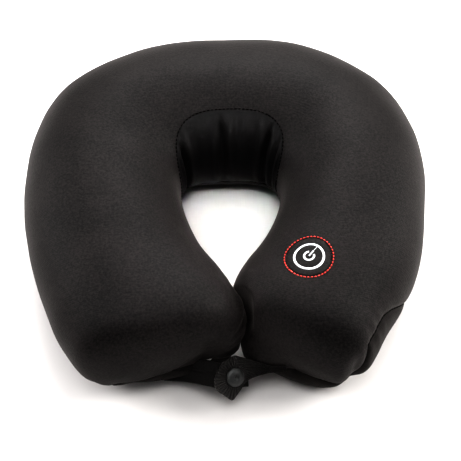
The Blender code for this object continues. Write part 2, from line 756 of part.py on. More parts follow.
cut(weight, prism("tool", bore, weight_z0 - 0.01, weight_z1 + 0.01, lay))
clamp_mid = 0.5 * MOTOR_LENGTH
clamp_ring = [(motor_r + CLEAR, clamp_mid - 0.003), (motor_r + 0.0015, clamp_mid - 0.003)]
clamp_ring += [(motor_r + 0.0015, clamp_mid + 0.003), (motor_r + CLEAR, clamp_mid + 0.003)]
clamp = lathe("motor_clamp", clamp_ring, 20, lay)
foot_y = motor_y0 + clamp_mid
for side in (-1, 1):
    xa = motor_x + side * (motor_r - 0.0025)
    xb = motor_x + side * (motor_r + 0.0035)
    foot = box("tool", min(xa, xb), max(xa, xb), foot_y - 0.003, foot_y + 0.003,
               UNIT_LOW + WALL + CLEAR, UNIT_LOW + WALL + 0.0022, UNIT)
    wall_a = motor_x + side * (motor_r + CLEAR + 0.0002)
    wall_b = motor_x + side * (motor_r + 0.0014)
    web = box("tool", min(wall_a, wall_b), max(wall_a, wall_b), foot_y - 0.0025, foot_y + 0.0025,
              UNIT_LOW + WALL + 0.0010, motor_z, UNIT)
    join(clamp, foot)
    join(clamp, web)

# switch board under the button
board_top = UNIT_TOP - WALL - 0.0078
board_low = board_top - 0.0016
board = box("circuit_board", 0.0090 - 0.5 * MODULE_LENGTH, 0.0090, -0.0150, 0.0150, board_low, board_top, UNIT)
for x in (-0.0120, 0.0060):
    for y in (-0.0125, 0.0125):
        join(upper, post(x, y, 0.0018, board_top + CLEAR, UNIT_TOP - 0.5 * WALL, 10))
switch_top = board_top + CLEAR + 0.0040
switch = box("switch_body", BX - 0.0030, BX + 0.0030, BY - 0.0030, BY + 0.0030, board_top + CLEAR,
             switch_top, UNIT)
cut(switch, post(BX, BY, 0.0017 + 0.0003, switch_top - 0.0022, switch_top + 0.01, 12))
plunger_top = switch_top + 0.0017
plunger = post(BX, BY, 0.0017, switch_top - 0.0022 + BUTTON_TRAVEL + CLEAR, plunger_top, 12)
plunger.name = "switch_plunger"
plunger.data.name = "switch_plunger"
button_profile = [(0, plunger_top + CLEAR), (stem_r, plunger_top + CLEAR), (stem_r, BUTTON_TOP - 0.0030)]
button_profile += [(button_r, BUTTON_TOP - 0.0030), (button_r, BUTTON_TOP - 0.0006)]
button_profile += [(button_r - 0.0008, BUTTON_TOP), (0, BUTTON_TOP)]
button = lathe("power_button", button_profile, 24, UNIT @ Matrix.Translation((BX, BY, 0)))

# leads from the motor to the board
leads = []
over_z = motor_z + motor_r + 0.0018
for name, dx, dy, end_y in (("lead_red", -0.0015, 0.0008, -0.0128), ("lead_black", 0.0030, 0.0038, -0.0088)):
    start = (motor_x + dx, motor_y0 - 0.0035, motor_z + 0.0020)
    rise = (motor_x + dx, motor_y0 - 0.0035, over_z)
    over = (motor_x + dx, motor_y0 + dy, over_z)
    stop = (0.0101, end_y, board_low + 0.0008)
    v, f = tube_data([start, rise, over, stop], 0.0006, 6)
    leads.append(make(name, v, f, UNIT))

screws = []
for number, (x, y) in enumerate(screw_places, 1):
    rings = [(0.0, UNIT_LOW + 0.0035), (0.0021, UNIT_LOW + 0.0035), (0.0021, UNIT_LOW + 0.0057)]
    rings += [(0.0011, UNIT_LOW + 0.0057), (0.0011, SPLIT + 0.0080), (0.0, SPLIT + 0.0080)]
    screws.append(lathe("housing_screw_%d" % number, rings, 10, UNIT @ Matrix.Translation((x, y, 0))))

# ---------------------------------------------------------------- zip in the underside
ZIP_SIDE = -0.0040             # zip moved outwards from the unit
ZIP = UNIT @ Matrix.Translation((0.0, ZIP_SIDE, 0.0))
half_zip = 0.5 * ZIP_LENGTH
slot_y = 0.5 * ZIP_SLOT_WIDTH
cut(bottom, prism("tool", round_rect(ZIP_LENGTH + 0.004, ZIP_SLOT_WIDTH, 0.003), -0.01, 0.01, ZIP))
# the tapes keep their room however the underside curves, and under the beads where they pass the unit
zip_x = half_zip + 0.0048 + CLEAR
zip_y = ZIP_TAPE_OUTER + CLEAR
cut(bottom, box("tool", -zip_x, zip_x, -zip_y, zip_y, ZIP_Z - 0.0002, 0.0060, ZIP))
cut(filling, box("tool", -zip_x, zip_x, -zip_y, zip_y, -0.01, 0.0048, ZIP))
tape_in = 0.0030
tooth_z0 = 0.0011
tooth_z1 = 0.0035
pitch = 0.0038
count = int((ZIP_LENGTH - 0.008) / pitch)
start = -0.5 * pitch * (count - 1)
tapes = []
for name, side in (("zip_half_inner", 1), ("zip_half_outer", -1)):
    y0, y1 = sorted((side * tape_in, side * ZIP_TAPE_OUTER))
    reach = half_zip + 0.0048
    half_zipper = box(name, -reach, reach, y0, y1, ZIP_Z, ZIP_Z + 0.0010, ZIP)
    bodies = []
    for k in range(count):
        x = start + pitch * (k + 0.25 * side)
        y0, y1 = sorted((side * 0.0008, side * 0.0034))
        bodies.append(box_data(x - 0.0009, x + 0.0009, y0, y1, tooth_z0, tooth_z1))
    tapes.append(join(half_zipper, group("tool", bodies, ZIP)))
stops = []
for name, side in (("zip_stop_front", -1), ("zip_stop_back", 1)):
    x0, x1 = sorted((side * (half_zip + 0.0004), side * (half_zip - 0.0014)))
    stops.append(box(name, x0, x1, -0.0026, 0.0026, tooth_z0, tooth_z1, ZIP))
slide_x = 0.0075 - half_zip
plate_low = 0.0003
slider = box("zip_slider", slide_x - 0.0045, slide_x + 0.0045, -0.0036, 0.0036, plate_low,
             plate_low + 0.0005, ZIP)
join(slider, box("tool", slide_x - 0.0045, slide_x + 0.0045, -0.0036, 0.0036, tooth_z1 + CLEAR,
                 tooth_z1 + 0.0010, ZIP))
join(slider, box("tool", slide_x - 0.0040, slide_x - 0.0010, -0.0005, 0.0005, plate_low + 0.0002,
                 tooth_z1 + 0.0006, ZIP))
for side in (-1, 1):
    y0, y1 = sorted((side * 0.0016, side * 0.0024))
    join(slider, box("tool", slide_x + 0.0040, slide_x + 0.0068, y0, y1, plate_low,
                     plate_low + 0.0005, ZIP))
pull_pin = slide_x + 0.0060
pull_z = plate_low + 0.00025
pull = box("zip_pull", pull_pin - 0.0004, pull_pin + 0.0160, -0.0013, 0.0013, plate_low,
           plate_low + 0.0005, ZIP)
join(pull, box("tool", pull_pin + 0.0016, pull_pin + 0.0160, -0.0026, 0.0026, plate_low,
               plate_low + 0.0005, ZIP))

# ---------------------------------------------------------------- straps and snap
TILT = math.radians(48.0)
ALONG = Vector((1, 0, 0))
UPWARD = Vector((0.0, math.sin(TILT), math.cos(TILT)))
OUTWARD = Vector((0.0, -math.cos(TILT), math.sin(TILT)))
SNAP_YAW = math.radians(24.0)
SNAP_DIR = (OUTWARD * math.cos(SNAP_YAW) + ALONG * math.sin(SNAP_YAW)).normalized()
SNAP_TAN = (ALONG * math.cos(SNAP_YAW) - OUTWARD * math.sin(SNAP_YAW)).normalized()
CAP_PLACE = Vector((0.0017 * SX, -0.1415 * SY, 0.0250))
front = Matrix((SNAP_TAN, UPWARD, SNAP_DIR)).transposed().to_4x4()
left_half = 0.5 * STRAP_LEFT_THICK
stud_base = left_half + CLEAR
socket_low = stud_base + 0.0006 + CLEAR
socket_top = socket_low + 0.0020
right_low = socket_top + CLEAR
right_mid = right_low + 0.5 * STRAP_RIGHT_THICK
right_top = right_low + STRAP_RIGHT_THICK
cap_low = right_top + CLEAR
SNAP_ORIGIN = CAP_PLACE - SNAP_DIR * cap_low
SNAP = Matrix.Translation(SNAP_ORIGIN) @ front


def plane_point(a, b, c):
    return CAP_PLACE + ALONG * a + OUTWARD * b + UPWARD * c


def ab_of(point):
    d = point - CAP_PLACE
    return d.dot(ALONG), d.dot(OUTWARD)


def ribbon(name, stations, thick):
    """Strap from (a, b, c low, c high) stations; a along, b outward, c up the strap."""
    ab = np.array([(s[0], s[1]) for s in stations])
    tan = np.gradient(ab, axis=0)
    tan /= np.hypot(tan[:, 0], tan[:, 1])[:, None]
    v = []
    for (a, b, lo, hi), (ta, tb) in zip(stations, tan):
        na, nb = -tb, ta
        for s in (0.5 * thick, -0.5 * thick):
            for c in (lo, 0.5 * (lo + hi), hi):
                v.append(plane_point(a + na * s, b + nb * s, c))
    f = []
    n = len(stations)
    for i in range(n - 1):
        p, q = 6 * i, 6 * (i + 1)
        for j in (0, 1):
            f.append((p + j, p + j + 1, q + j + 1, q + j))
            f.append((p + 3 + j, q + 3 + j, q + 4 + j, p + 4 + j))
        f.append((p, q, q + 3, p + 3))
        f.append((p + 2, p + 5, q + 5, q + 2))
    for p in (0, 6 * (n - 1)):
        f.append((p, p + 3, p + 4, p + 1))
        f.append((p + 1, p + 4, p + 5, p + 2))
    return make(name, v, f)


slope = -math.tan(SNAP_YAW)
la, lb = ab_of(SNAP_ORIGIN)
ra, rb = ab_of(SNAP_ORIGIN + SNAP_DIR * right_mid)
HW = 0.5 * STRAP_LEFT_WIDTH


def on_left(a):
    return lb + slope * (a - la)


def on_right(a):
    return rb + slope * (a - ra)


left_line = [(-0.0390, -0.0165, 0.0045), (-0.0330, -0.0140, 0.0042), (-0.0270, -0.0105, 0.0038)]
left_line += [(-0.0205, -0.0065, 0.0030), (-0.0145, -0.0042, 0.0018)]
left_line += [(a, on_left(a), 0.0004) for a in (-0.0095, -0.0030, 0.0040, 0.0085)]
left_strap = ribbon("left_strap", [(a, b, c - HW, c + HW) for a, b, c in left_line], STRAP_LEFT_THICK)
right_line = [(-0.0128, -0.0060, 0.0010), (-0.0088, -0.0102, 0.0088), (-0.0026, -0.0150, 0.0132)]
right_line += [(0.0000, -0.0128, 0.0143), (0.0026, -0.0102, 0.0134), (0.0058, -0.0060, 0.0122)]
right_stations = [(a, on_right(a), lo, hi) for a, lo, hi in right_line]
b_end = on_right(0.0058)
right_stations += [(0.0100, b_end - 0.0014, -0.0030, 0.0106), (0.0150, b_end - 0.0020, -0.0012, 0.0088)]
right_stations += [(0.0200, b_end - 0.0018, 0.0004, 0.0070), (0.0250, b_end - 0.0012, 0.0014, 0.0056)]
right_stations += [(0.0340, b_end - 0.0002, 0.0018, 0.0052)]
STRAP_ROOM = 0.0005            # wider gap where the opening strap swings past the cover
right_strap = ribbon("right_strap", right_stations, STRAP_RIGHT_THICK)

for strap, room in ((left_strap, CLEAR), (right_strap, STRAP_ROOM)):
    skin_out_v, skin_out_f = ring_closed(-room)
    cut(strap, make("tool", skin_out_v, skin_out_f))


def snap_post(radius, z0, z1, seg=14):
    pts = [(radius * math.cos(2 * math.pi * k / seg), radius * math.sin(2 * math.pi * k / seg))
           for k in range(seg)]
    return prism("tool", pts, z0, z1, SNAP)


PIN = 0.0012
cut(left_strap, snap_post(PIN + CLEAR, -0.004, 0.004))
cut(right_strap, snap_post(PIN + CLEAR, right_low - 0.0015, right_top + 0.0015))
plate_top = -left_half - CLEAR
back_plate = lathe("snap_back_plate", [(0, plate_top - 0.0010), (0.0050, plate_top - 0.0010),
                                       (0.0054, plate_top - 0.0005), (0.0054, plate_top), (PIN, plate_top),
                                       (PIN, left_half), (0, left_half)], 20, SNAP)
stud = lathe("snap_stud", [(0, stud_base), (0.0050, stud_base), (0.0050, stud_base + 0.0006),
                           (0.0019, stud_base + 0.0006), (0.0019, stud_base + 0.0014),
                           (0.0022, stud_base + 0.0019), (0.0016, stud_base + 0.0024),
                           (0, stud_base + 0.0024)], 16, SNAP)
socket = lathe("snap_socket", [(0.0022 + CLEAR, socket_low), (0.0054, socket_low), (0.0054, socket_low + 0.0014),
                               (0.0040, socket_top), (0.0022 + CLEAR, socket_top)], 20, SNAP)
R = 0.5 * SNAP_DIAMETER
cap = lathe("snap_cap", [(0, right_low + 0.0001), (PIN, right_low + 0.0001), (PIN, cap_low), (R - 0.0004, cap_low),
                         (R, cap_low + 0.0005), (R * 0.93, cap_low + 0.0011), (R * 0.70, cap_low + 0.0019),
                         (R * 0.42, cap_low + 0.0023), (R * 0.28, cap_low + 0.0022),
                         (R * 0.16, cap_low + 0.0014), (0, cap_low + 0.0012)], 24, SNAP)

# ---------------------------------------------------------------- finish
paint(top, (0.030, 0.027, 0.026), 0.9)
paint(bottom, (0.050, 0.045, 0.043), 0.9)
paint(neck, (0.016, 0.014, 0.015), 0.6)
paint(filling, (0.85, 0.85, 0.82), 0.8)
paint(pocket, (0.10, 0.10, 0.11), 0.9)
paint(patch, (0.035, 0.032, 0.031), 0.9)
paint(symbol, (0.85, 0.85, 0.85), 0.6)
paint(stitch, (0.62, 0.06, 0.05), 0.6)
paint(left_strap, (0.022, 0.020, 0.020), 0.85)
paint(right_strap, (0.020, 0.019, 0.019), 0.7)
paint(cap, (0.018, 0.018, 0.019), 0.35)
paint(socket, (0.10, 0.10, 0.10), 0.4, 0.6)
paint(stud, (0.12, 0.12, 0.12), 0.4, 0.6)
paint(back_plate, (0.03, 0.03, 0.03), 0.4)
for ob in tapes:
    paint(ob, (0.020, 0.020, 0.022), 0.9)
for ob in stops:
    paint(ob, (0.45, 0.45, 0.46), 0.35, 1.0)
paint(slider, (0.40, 0.40, 0.42), 0.35, 1.0)
paint(pull, (0.40, 0.40, 0.42), 0.35, 1.0)
paint(upper, (0.62, 0.62, 0.60), 0.45)
paint(lower, (0.60, 0.60, 0.58), 0.45)
paint(button, (0.10, 0.10, 0.11), 0.4)
paint(switch, (0.05, 0.05, 0.05), 0.4)
paint(plunger, (0.75, 0.72, 0.62), 0.4)
paint(board, (0.03, 0.16, 0.07), 0.5)
paint(can, (0.62, 0.62, 0.63), 0.3, 1.0)
paint(end_cap, (0.75, 0.75, 0.72), 0.5)
paint(shaft, (0.70, 0.70, 0.70), 0.2, 1.0)
paint(weight, (0.50, 0.48, 0.44), 0.35, 1.0)
paint(clamp, (0.15, 0.15, 0.16), 0.5)
for ob in cells_made:
    paint(ob, (0.05, 0.16, 0.30), 0.35)
for ob in springs + contacts:
    paint(ob, (0.75, 0.75, 0.76), 0.25, 1.0)
paint(bridge, (0.75, 0.75, 0.76), 0.25, 1.0)
paint(door, (0.60, 0.60, 0.58), 0.45)
paint(leads[0], (0.55, 0.03, 0.03), 0.5)
paint(leads[1], (0.03, 0.03, 0.03), 0.5)
for ob in screws:
    paint(ob, (0.60, 0.60, 0.60), 0.3, 1.0)

everything = [ob for ob in bpy.data.objects if ob.type == "MESH"]
for ob in everything:
    round_off(ob, 40.0 if ob not in (top, bottom, neck, filling) else 60.0)

# one shared frame: the middle of the footprint is the origin, the underside is z = 0
bpy.context.view_layer.update()
pts = np.concatenate([np.array([tuple(v.co) for v in ob.data.vertices]) for ob in everything])
low, high = pts.min(axis=0), pts.max(axis=0)
shift = Vector((-0.5 * (low[0] + high[0]), -0.5 * (low[1] + high[1]), -low[2]))
for ob in everything:
    ob.data.transform(Matrix.Translation(shift))
MOVE = Matrix.Translation(shift)


def unit_point(x, y, z):
    return MOVE @ (UNIT @ Vector((x, y, z)))


for ob in (button, patch, symbol, plunger):
    set_origin(ob, unit_point(BX, BY, BUTTON_TOP))
for ob in (shaft, weight):
    set_origin(ob, unit_point(motor_x, motor_y1, motor_z))
set_origin(door, unit_point(0.5 * (door_x0 + door_x1), 0.0, door_low))
set_origin(slider, unit_point(slide_x, ZIP_SIDE, plate_low))
set_origin(pull, unit_point(pull_pin, ZIP_SIDE, pull_z))
HINGE_A = 0.0275
HINGE_B = b_end - 0.0006
for ob in (right_strap, cap, socket):
    set_origin(ob, MOVE @ plane_point(HINGE_A, HINGE_B, 0.0035))
bpy.context.view_layer.update()
print("unit home", tuple(round(c, 5) for c in unit_point(0, 0, 0)), "yaw", round(math.degrees(YAW), 2))
print("button", tuple(round(c, 5) for c in unit_point(BX, BY, BUTTON_TOP)), "local", BX, BY)
print("across", tuple(ACROSS), "unit top/low", UNIT_TOP, UNIT_LOW)
print("motor", tuple(unit_point(motor_x, motor_y1, motor_z)), "zip", tuple(unit_point(slide_x, ZIP_SIDE, plate_low)))
print("pull", tuple(unit_point(pull_pin, ZIP_SIDE, pull_z)), "door", tuple(unit_point(0, 0, door_low)))
print("hinge", tuple(MOVE @ plane_point(HINGE_A, HINGE_B, 0.0035)), "upward", tuple(UPWARD))
print("cap", tuple(MOVE @ CAP_PLACE), "snap dir", tuple(SNAP_DIR), "shift", tuple(shift))
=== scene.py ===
import json
import math
import bmesh
import bpy
import numpy as np
from mathutils import Matrix, Vector, noise
from mathutils.bvhtree import BVHTree
from mathutils.kdtree import KDTree


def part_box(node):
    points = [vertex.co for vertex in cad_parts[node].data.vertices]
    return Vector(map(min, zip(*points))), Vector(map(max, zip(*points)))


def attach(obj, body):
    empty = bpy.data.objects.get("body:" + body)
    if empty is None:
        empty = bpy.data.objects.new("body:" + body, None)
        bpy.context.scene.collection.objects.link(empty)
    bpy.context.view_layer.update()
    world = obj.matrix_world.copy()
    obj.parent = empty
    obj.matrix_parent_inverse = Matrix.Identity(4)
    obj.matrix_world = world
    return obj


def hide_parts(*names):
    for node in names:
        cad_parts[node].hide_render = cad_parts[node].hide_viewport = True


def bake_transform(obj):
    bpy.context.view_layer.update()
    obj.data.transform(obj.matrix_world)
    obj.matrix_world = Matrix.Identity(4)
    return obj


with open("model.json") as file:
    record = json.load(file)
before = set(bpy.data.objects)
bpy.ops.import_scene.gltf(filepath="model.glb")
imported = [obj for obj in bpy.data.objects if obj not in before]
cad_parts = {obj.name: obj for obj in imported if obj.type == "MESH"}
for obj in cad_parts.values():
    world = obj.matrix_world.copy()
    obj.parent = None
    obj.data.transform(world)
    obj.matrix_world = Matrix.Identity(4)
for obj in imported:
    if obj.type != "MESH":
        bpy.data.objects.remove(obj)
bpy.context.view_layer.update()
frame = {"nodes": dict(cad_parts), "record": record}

# ------------------------------------------------------------------ helpers
COLL = bpy.context.scene.collection


def mesh_object(name, verts, faces, smooth=True):
    me = bpy.data.meshes.new(name)
    me.from_pydata([tuple(map(float, v)) for v in verts], [], [tuple(map(int, f)) for f in faces])
    me.update()
    ob = bpy.data.objects.new(name, me)
    COLL.objects.link(ob)
    if smooth:
        me.shade_smooth()
    return ob


def consistent(ob):
    """Turns all faces of a closed mesh the same way out."""
    bm = bmesh.new()
    bm.from_mesh(ob.data)
    bmesh.ops.recalc_face_normals(bm, faces=bm.faces)
    bm.to_mesh(ob.data)
    bm.free()
    return ob


def new_material(name):
    mat = bpy.data.materials.new(name)
    mat.use_nodes = True
    nt = mat.node_tree
    return mat, nt, nt.nodes["Principled BSDF"]


def node(nt, kind, **values):
    n = nt.nodes.new(kind)
    for key, value in values.items():
        if key in n.inputs:
            n.inputs[key].default_value = value
        else:
            setattr(n, key, value)
    return n


def ramp(nt, fac, stops):
    r = nt.nodes.new("ShaderNodeValToRGB")
    el = r.color_ramp.elements
    while len(el) < len(stops):
        el.new(0.5)
    for e, (pos, col) in zip(el, stops):
        e.position = pos
        e.color = (*col, 1.0) if len(col) == 3 else col
    nt.links.new(fac, r.inputs["Fac"])
    return r


def knit(name, dark, light, rough=0.85, sheen=0.3, sheen_rough=0.45, bump=0.25, pitch=0.0008, fuzz=0.9,
         spec=0.3):
    """Stretch knit: fine columns of loops, a soft nap and slow changes of shade."""
    mat, nt, bsdf = new_material(name)
    co = node(nt, "ShaderNodeTexCoord")
    slow = node(nt, "ShaderNodeTexNoise", Scale=22.0, Detail=3.0, Roughness=0.55)
    nt.links.new(co.outputs["Object"], slow.inputs["Vector"])
    grain = node(nt, "ShaderNodeTexNoise", Scale=650.0, Detail=2.0, Roughness=0.7)
    nt.links.new(co.outputs["Object"], grain.inputs["Vector"])
    loops = node(nt, "ShaderNodeTexVoronoi", Scale=1.0 / pitch, Randomness=0.35)
    stretch = node(nt, "ShaderNodeMapping")
    stretch.inputs["Scale"].default_value = (1.0, 0.62, 1.0)
    nt.links.new(co.outputs["Object"], stretch.inputs["Vector"])
    nt.links.new(stretch.outputs["Vector"], loops.inputs["Vector"])
    mix = node(nt, "ShaderNodeMath", operation="MULTIPLY_ADD")
    nt.links.new(grain.outputs["Fac"], mix.inputs[0])
    mix.inputs[1].default_value = fuzz
    nt.links.new(slow.outputs["Fac"], mix.inputs[2])
    half = node(nt, "ShaderNodeMath", operation="MULTIPLY")
    nt.links.new(mix.outputs[0], half.inputs[0])
    half.inputs[1].default_value = 1.0 / (1.0 + fuzz)
    col = ramp(nt, half.outputs[0], [(0.37, dark), (0.63, light)])
    nt.links.new(col.outputs["Color"], bsdf.inputs["Base Color"])
    bsdf.inputs["Roughness"].default_value = rough
    bsdf.inputs["Specular IOR Level"].default_value = spec
    bsdf.inputs["Sheen Weight"].default_value = sheen
    bsdf.inputs["Sheen Roughness"].default_value = sheen_rough
    bsdf.inputs["Sheen Tint"].default_value = (0.95, 0.88, 0.84, 1.0)
    height = node(nt, "ShaderNodeMath", operation="MULTIPLY_ADD")
    nt.links.new(grain.outputs["Fac"], height.inputs[0])
    height.inputs[1].default_value = 0.8
    nt.links.new(loops.outputs["Distance"], height.inputs[2])
    bp = node(nt, "ShaderNodeBump", Strength=bump, Distance=0.0004)
    nt.links.new(height.outputs[0], bp.inputs["Height"])
    nt.links.new(bp.outputs["Normal"], bsdf.inputs["Normal"])
    return mat


def solid(name, dark, light, rough=(0.35, 0.55), metal=0.0, scale=180.0, bump=0.08, spec=0.5, coat=0.0,
          stretch=(1.0, 1.0, 1.0)):
    """Moulded plastic or metal with fine mottling, uneven gloss and a fine surface grain."""
    mat, nt, bsdf = new_material(name)
    co = node(nt, "ShaderNodeTexCoord")
    mp = node(nt, "ShaderNodeMapping")
    mp.inputs["Scale"].default_value = stretch
    nt.links.new(co.outputs["Object"], mp.inputs["Vector"])
    a = node(nt, "ShaderNodeTexNoise", Scale=scale, Detail=5.0, Roughness=0.6)
    nt.links.new(mp.outputs["Vector"], a.inputs["Vector"])
    b = node(nt, "ShaderNodeTexNoise", Scale=scale * 9.0, Detail=2.0)
    nt.links.new(mp.outputs["Vector"], b.inputs["Vector"])
    col = ramp(nt, a.outputs["Fac"], [(0.35, dark), (0.65, light)])
    nt.links.new(col.outputs["Color"], bsdf.inputs["Base Color"])
    rr = node(nt, "ShaderNodeMapRange")
    rr.inputs["To Min"].default_value = rough[0]
    rr.inputs["To Max"].default_value = rough[1]
    nt.links.new(a.outputs["Fac"], rr.inputs["Value"])
    nt.links.new(rr.outputs["Result"], bsdf.inputs["Roughness"])
    bsdf.inputs["Metallic"].default_value = metal
    bsdf.inputs["Specular IOR Level"].default_value = spec
    bsdf.inputs["Coat Weight"].default_value = coat
    bp = node(nt, "ShaderNodeBump", Strength=bump, Distance=0.0003)
    nt.links.new(b.outputs["Fac"], bp.inputs["Height"])
    nt.links.new(bp.outputs["Normal"], bsdf.inputs["Normal"])
    return mat


def dress(ob, mat):
    ob.data.materials.clear()
    ob.data.materials.append(mat)
    return ob


# ------------------------------------------------------------------ shape of the U
HEIGHT_BACK, HEIGHT_TIP, SINK = 0.1065, 0.081, 0.0035
LOBE_GAP, LOBE_SOFT, FLOOR_SOFT = 0.0003, 0.0010, 0.0012
BACK_CENTRE = (0.0, 0.09, 0.05)
CLOTH_THICK, BEAD_DEPTH, TUCK = 0.0009, 0.0055, 0.0085
GIVE_INSET, GIVE_VOXEL, GIVE_PRESSURE, GIVE_FRAMES, GIVE_CAP = 0.0015, 0.006, 4.0, 20, 0.0015
END_RADIUS = 0.0437
P_TOP, P_LOW = 2.16, 2.11
RO = [(0.0, 0.1525), (0.0616, 0.1460), (0.1290, 0.1000), (0.1503, 0.0241), (0.1420, -0.0369),
      (0.1280, -0.0844), (0.1095, -0.1130), (0.0945, -0.1380), (0.0830, -0.1600)]
RI = [(0.0, 0.0240), (0.0225, 0.0225), (0.0365, 0.0130), (0.0400, -0.0010), (0.0375, -0.0190),
      (0.0285, -0.0400), (0.0165, -0.0580), (0.0010, -0.0815), (-0.0020, -0.1160)]
LO = [(0.0, 0.1525), (0.0616, 0.1470), (0.1310, 0.1010), (0.1503, 0.0241), (0.1435, -0.0380),
      (0.1305, -0.0850), (0.1180, -0.1150), (0.1065, -0.1330), (0.0980, -0.1480)]
LI = [(0.0, 0.0240), (0.0210, 0.0225), (0.0320, 0.0130), (0.0330, -0.0030), (0.0300, -0.0200),
      (0.0235, -0.0400), (0.0130, -0.0590), (-0.0050, -0.0840), (-0.0190, -0.1260)]


def chain(right, left):
    r = np.array(right)
    lf = np.array(left)[:0:-1] * np.array([-1.0, 1.0])
    return np.concatenate([lf, r])


def spline(values, t):
    y = np.asarray(values, float)
    n = len(y) - 1
    h = 1.0 / n
    a = np.zeros((n + 1, n + 1))
    r = np.zeros(n + 1)
    for i in range(1, n):
        a[i, i - 1:i + 2] = (1.0, 4.0, 1.0)
        r[i] = 6.0 * (y[i - 1] - 2.0 * y[i] + y[i + 1]) / (h * h)
    a[0, 0:3] = (1.0, -2.0, 1.0)
    a[n, n - 2:n + 1] = (1.0, -2.0, 1.0)
    m = np.linalg.solve(a, r)
    t = np.asarray(t, float)
    k = np.clip((t / h).astype(int), 0, n - 1)
    u = t - k * h
    b = (y[k + 1] - y[k]) / h - h * (2.0 * m[k] + m[k + 1]) / 6.0
    return y[k] + b * u + m[k] * u * u / 2.0 + (m[k + 1] - m[k]) * u ** 3 / (6.0 * h)


OUT = chain(RO, LO)
INN = chain(RI, LI)
MID = 0.5 * (OUT + INN)
FINE = np.linspace(0.0, 1.0, 1601)
FX, FY = spline(MID[:, 0], FINE), spline(MID[:, 1], FINE)
ARC = np.concatenate([[0.0], np.cumsum(np.hypot(np.diff(FX), np.diff(FY)))])
LENGTH = ARC[-1]


def smooth(x, a, b):
    x = np.clip((x - a) / (b - a), 0.0, 1.0)
    return x * x * (3.0 - 2.0 * x)


def bell(x, c, w):
    return np.exp(-((x - c) / w) ** 2)


def contact(y, z):
    """Side position of the touching faces of the two lobes: the left one leans over to the right."""
    return 0.0010 + 0.0135 * smooth(-y, 0.082, 0.110) * smooth(z, 0.018, 0.050)


def surface(share, phi, depth=0.0):
    """Cover points for arrays of position along the U and angle round the section."""
    share, phi = np.broadcast_arrays(np.asarray(share, float), np.asarray(phi, float))
    arc = depth + (LENGTH - 2.0 * depth) * share
    t = np.interp(arc, ARC, FINE)
    vx = 0.5 * spline(OUT[:, 0] - INN[:, 0], t)
    vy = 0.5 * spline(OUT[:, 1] - INN[:, 1], t)
    q = np.hypot(vx, vy)
    nx, ny = vx / q, vy / q
    near = np.minimum(arc, LENGTH - arc) - depth
    power = np.where(share < 0.5, 4.2, 3.3)
    k = 1.0 - np.clip(1.0 - near / (END_RADIUS - depth), 0.0, 1.0) ** power
    k = np.maximum(k, 0.0) ** (1.0 / power)
    k = np.maximum(k, 0.012)
    c, s = np.cos(np.radians(phi)), np.sin(np.radians(phi))
    p = np.where(s < 0.0, P_LOW, P_TOP)
    cu = np.sign(c) * np.abs(c) ** (2.0 / p)
    su = np.sign(s) * np.abs(s) ** (2.0 / p)
    full = HEIGHT_BACK - (HEIGHT_BACK - HEIGHT_TIP) * np.sin(math.pi * np.abs(t - 0.5)) ** 2
    mid, half = 0.5 * (full - SINK), 0.5 * (full + SINK) - depth
    x = spline(MID[:, 0], t) + nx * cu * (q - depth) * k
    y = spline(MID[:, 1], t) + ny * cu * (q - depth) * k
    z = (mid + half * su * k ** 0.8) * (1.0 - np.where(share < 0.5, 0.36, 0.42) * (1.0 - k))
    # soft meeting with the ground
    z = depth + 0.5 * ((z - depth) + np.sqrt((z - depth) ** 2 + FLOOR_SOFT ** 2))
    wall = contact(y, z)
    to_right, to_left = x - wall - LOBE_GAP - depth, wall - LOBE_GAP - depth - x
    right = 0.5 * (to_right + np.sqrt(to_right ** 2 + LOBE_SOFT ** 2))
    left = 0.5 * (to_left + np.sqrt(to_left ** 2 + LOBE_SOFT ** 2))
    x = np.where(share > 0.70, wall + LOBE_GAP + depth + right, x)
    x = np.where(share < 0.30, wall - LOBE_GAP - depth - left, x)
    return np.stack([x, y, z], -1)


NECK_MID, NECK_HALF = 0.4930, 0.1760
N_ROW = 300
N_UP, N_IN, N_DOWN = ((44, 18, 30))


def seam_out(share):
    """Angle of the outer seam: low along the sides, rising over the front corner of the right lobe."""
    t = np.asarray(share, float)
    rise = 46.0 * smooth(t, 0.835, 0.925) - 52.0 * smooth(t, 0.958, 0.988)
    left = -12.0 * smooth(0.30 - t, 0.0, 0.25)
    return -25.0 + rise + left


def across_neck(share):
    """Position on the neck panel: -1 at its left edge, 1 at its right edge."""
    return (np.asarray(share, float) - NECK_MID) / NECK_HALF


def seam_low(share):
    aw = across_neck(share)
    lean = -5.0 * smooth(aw, -0.75, 0.25) + 3.0 * smooth(-aw, 0.55, 0.95)
    return 199.0 + lean * (1.0 - smooth(np.abs(aw), 1.0, 1.6)) + 10.0 * smooth(np.abs(aw), 0.85, 1.5)


def seam_neck(share):
    """Angle of the neck panel's arched top seam."""
    aw = np.clip(across_neck(share), -1.0, 1.0)
    power = np.where(aw < 0.0, 2.0, 3.2)
    arch = (1.0 - np.abs(aw) ** power) ** (1.0 / power)
    return seam_low(share) - (seam_low(share) - 129.0) * arch


def spaced(n, pull):
    """0..1 in n steps, closer together at both ends."""
    i = np.linspace(0.0, 1.0, n + 1)
    return (1.0 - pull) * i + pull * (0.5 - 0.5 * np.cos(math.pi * i))


def rows_for_cover():
    i = np.linspace(0.0, 1.0, N_ROW)
    s = 0.55 * i + 0.45 * (0.5 - 0.5 * np.cos(math.pi * i))
    near = np.array([0.0, 0.0002, 0.0006, 0.0012, 0.0020, 0.0030, 0.0042, 0.0056]) / LENGTH
    s = s[(s > near[-1] * 1.25) & (s < 1.0 - near[-1] * 1.25)]
    s = np.concatenate([near, s, (1.0 - near)[::-1]])
    for edge in (NECK_MID - NECK_HALF, NECK_MID + NECK_HALF):
        s[int(np.argmin(np.abs(s - edge)))] = edge
    return s


ROWS = rows_for_cover()


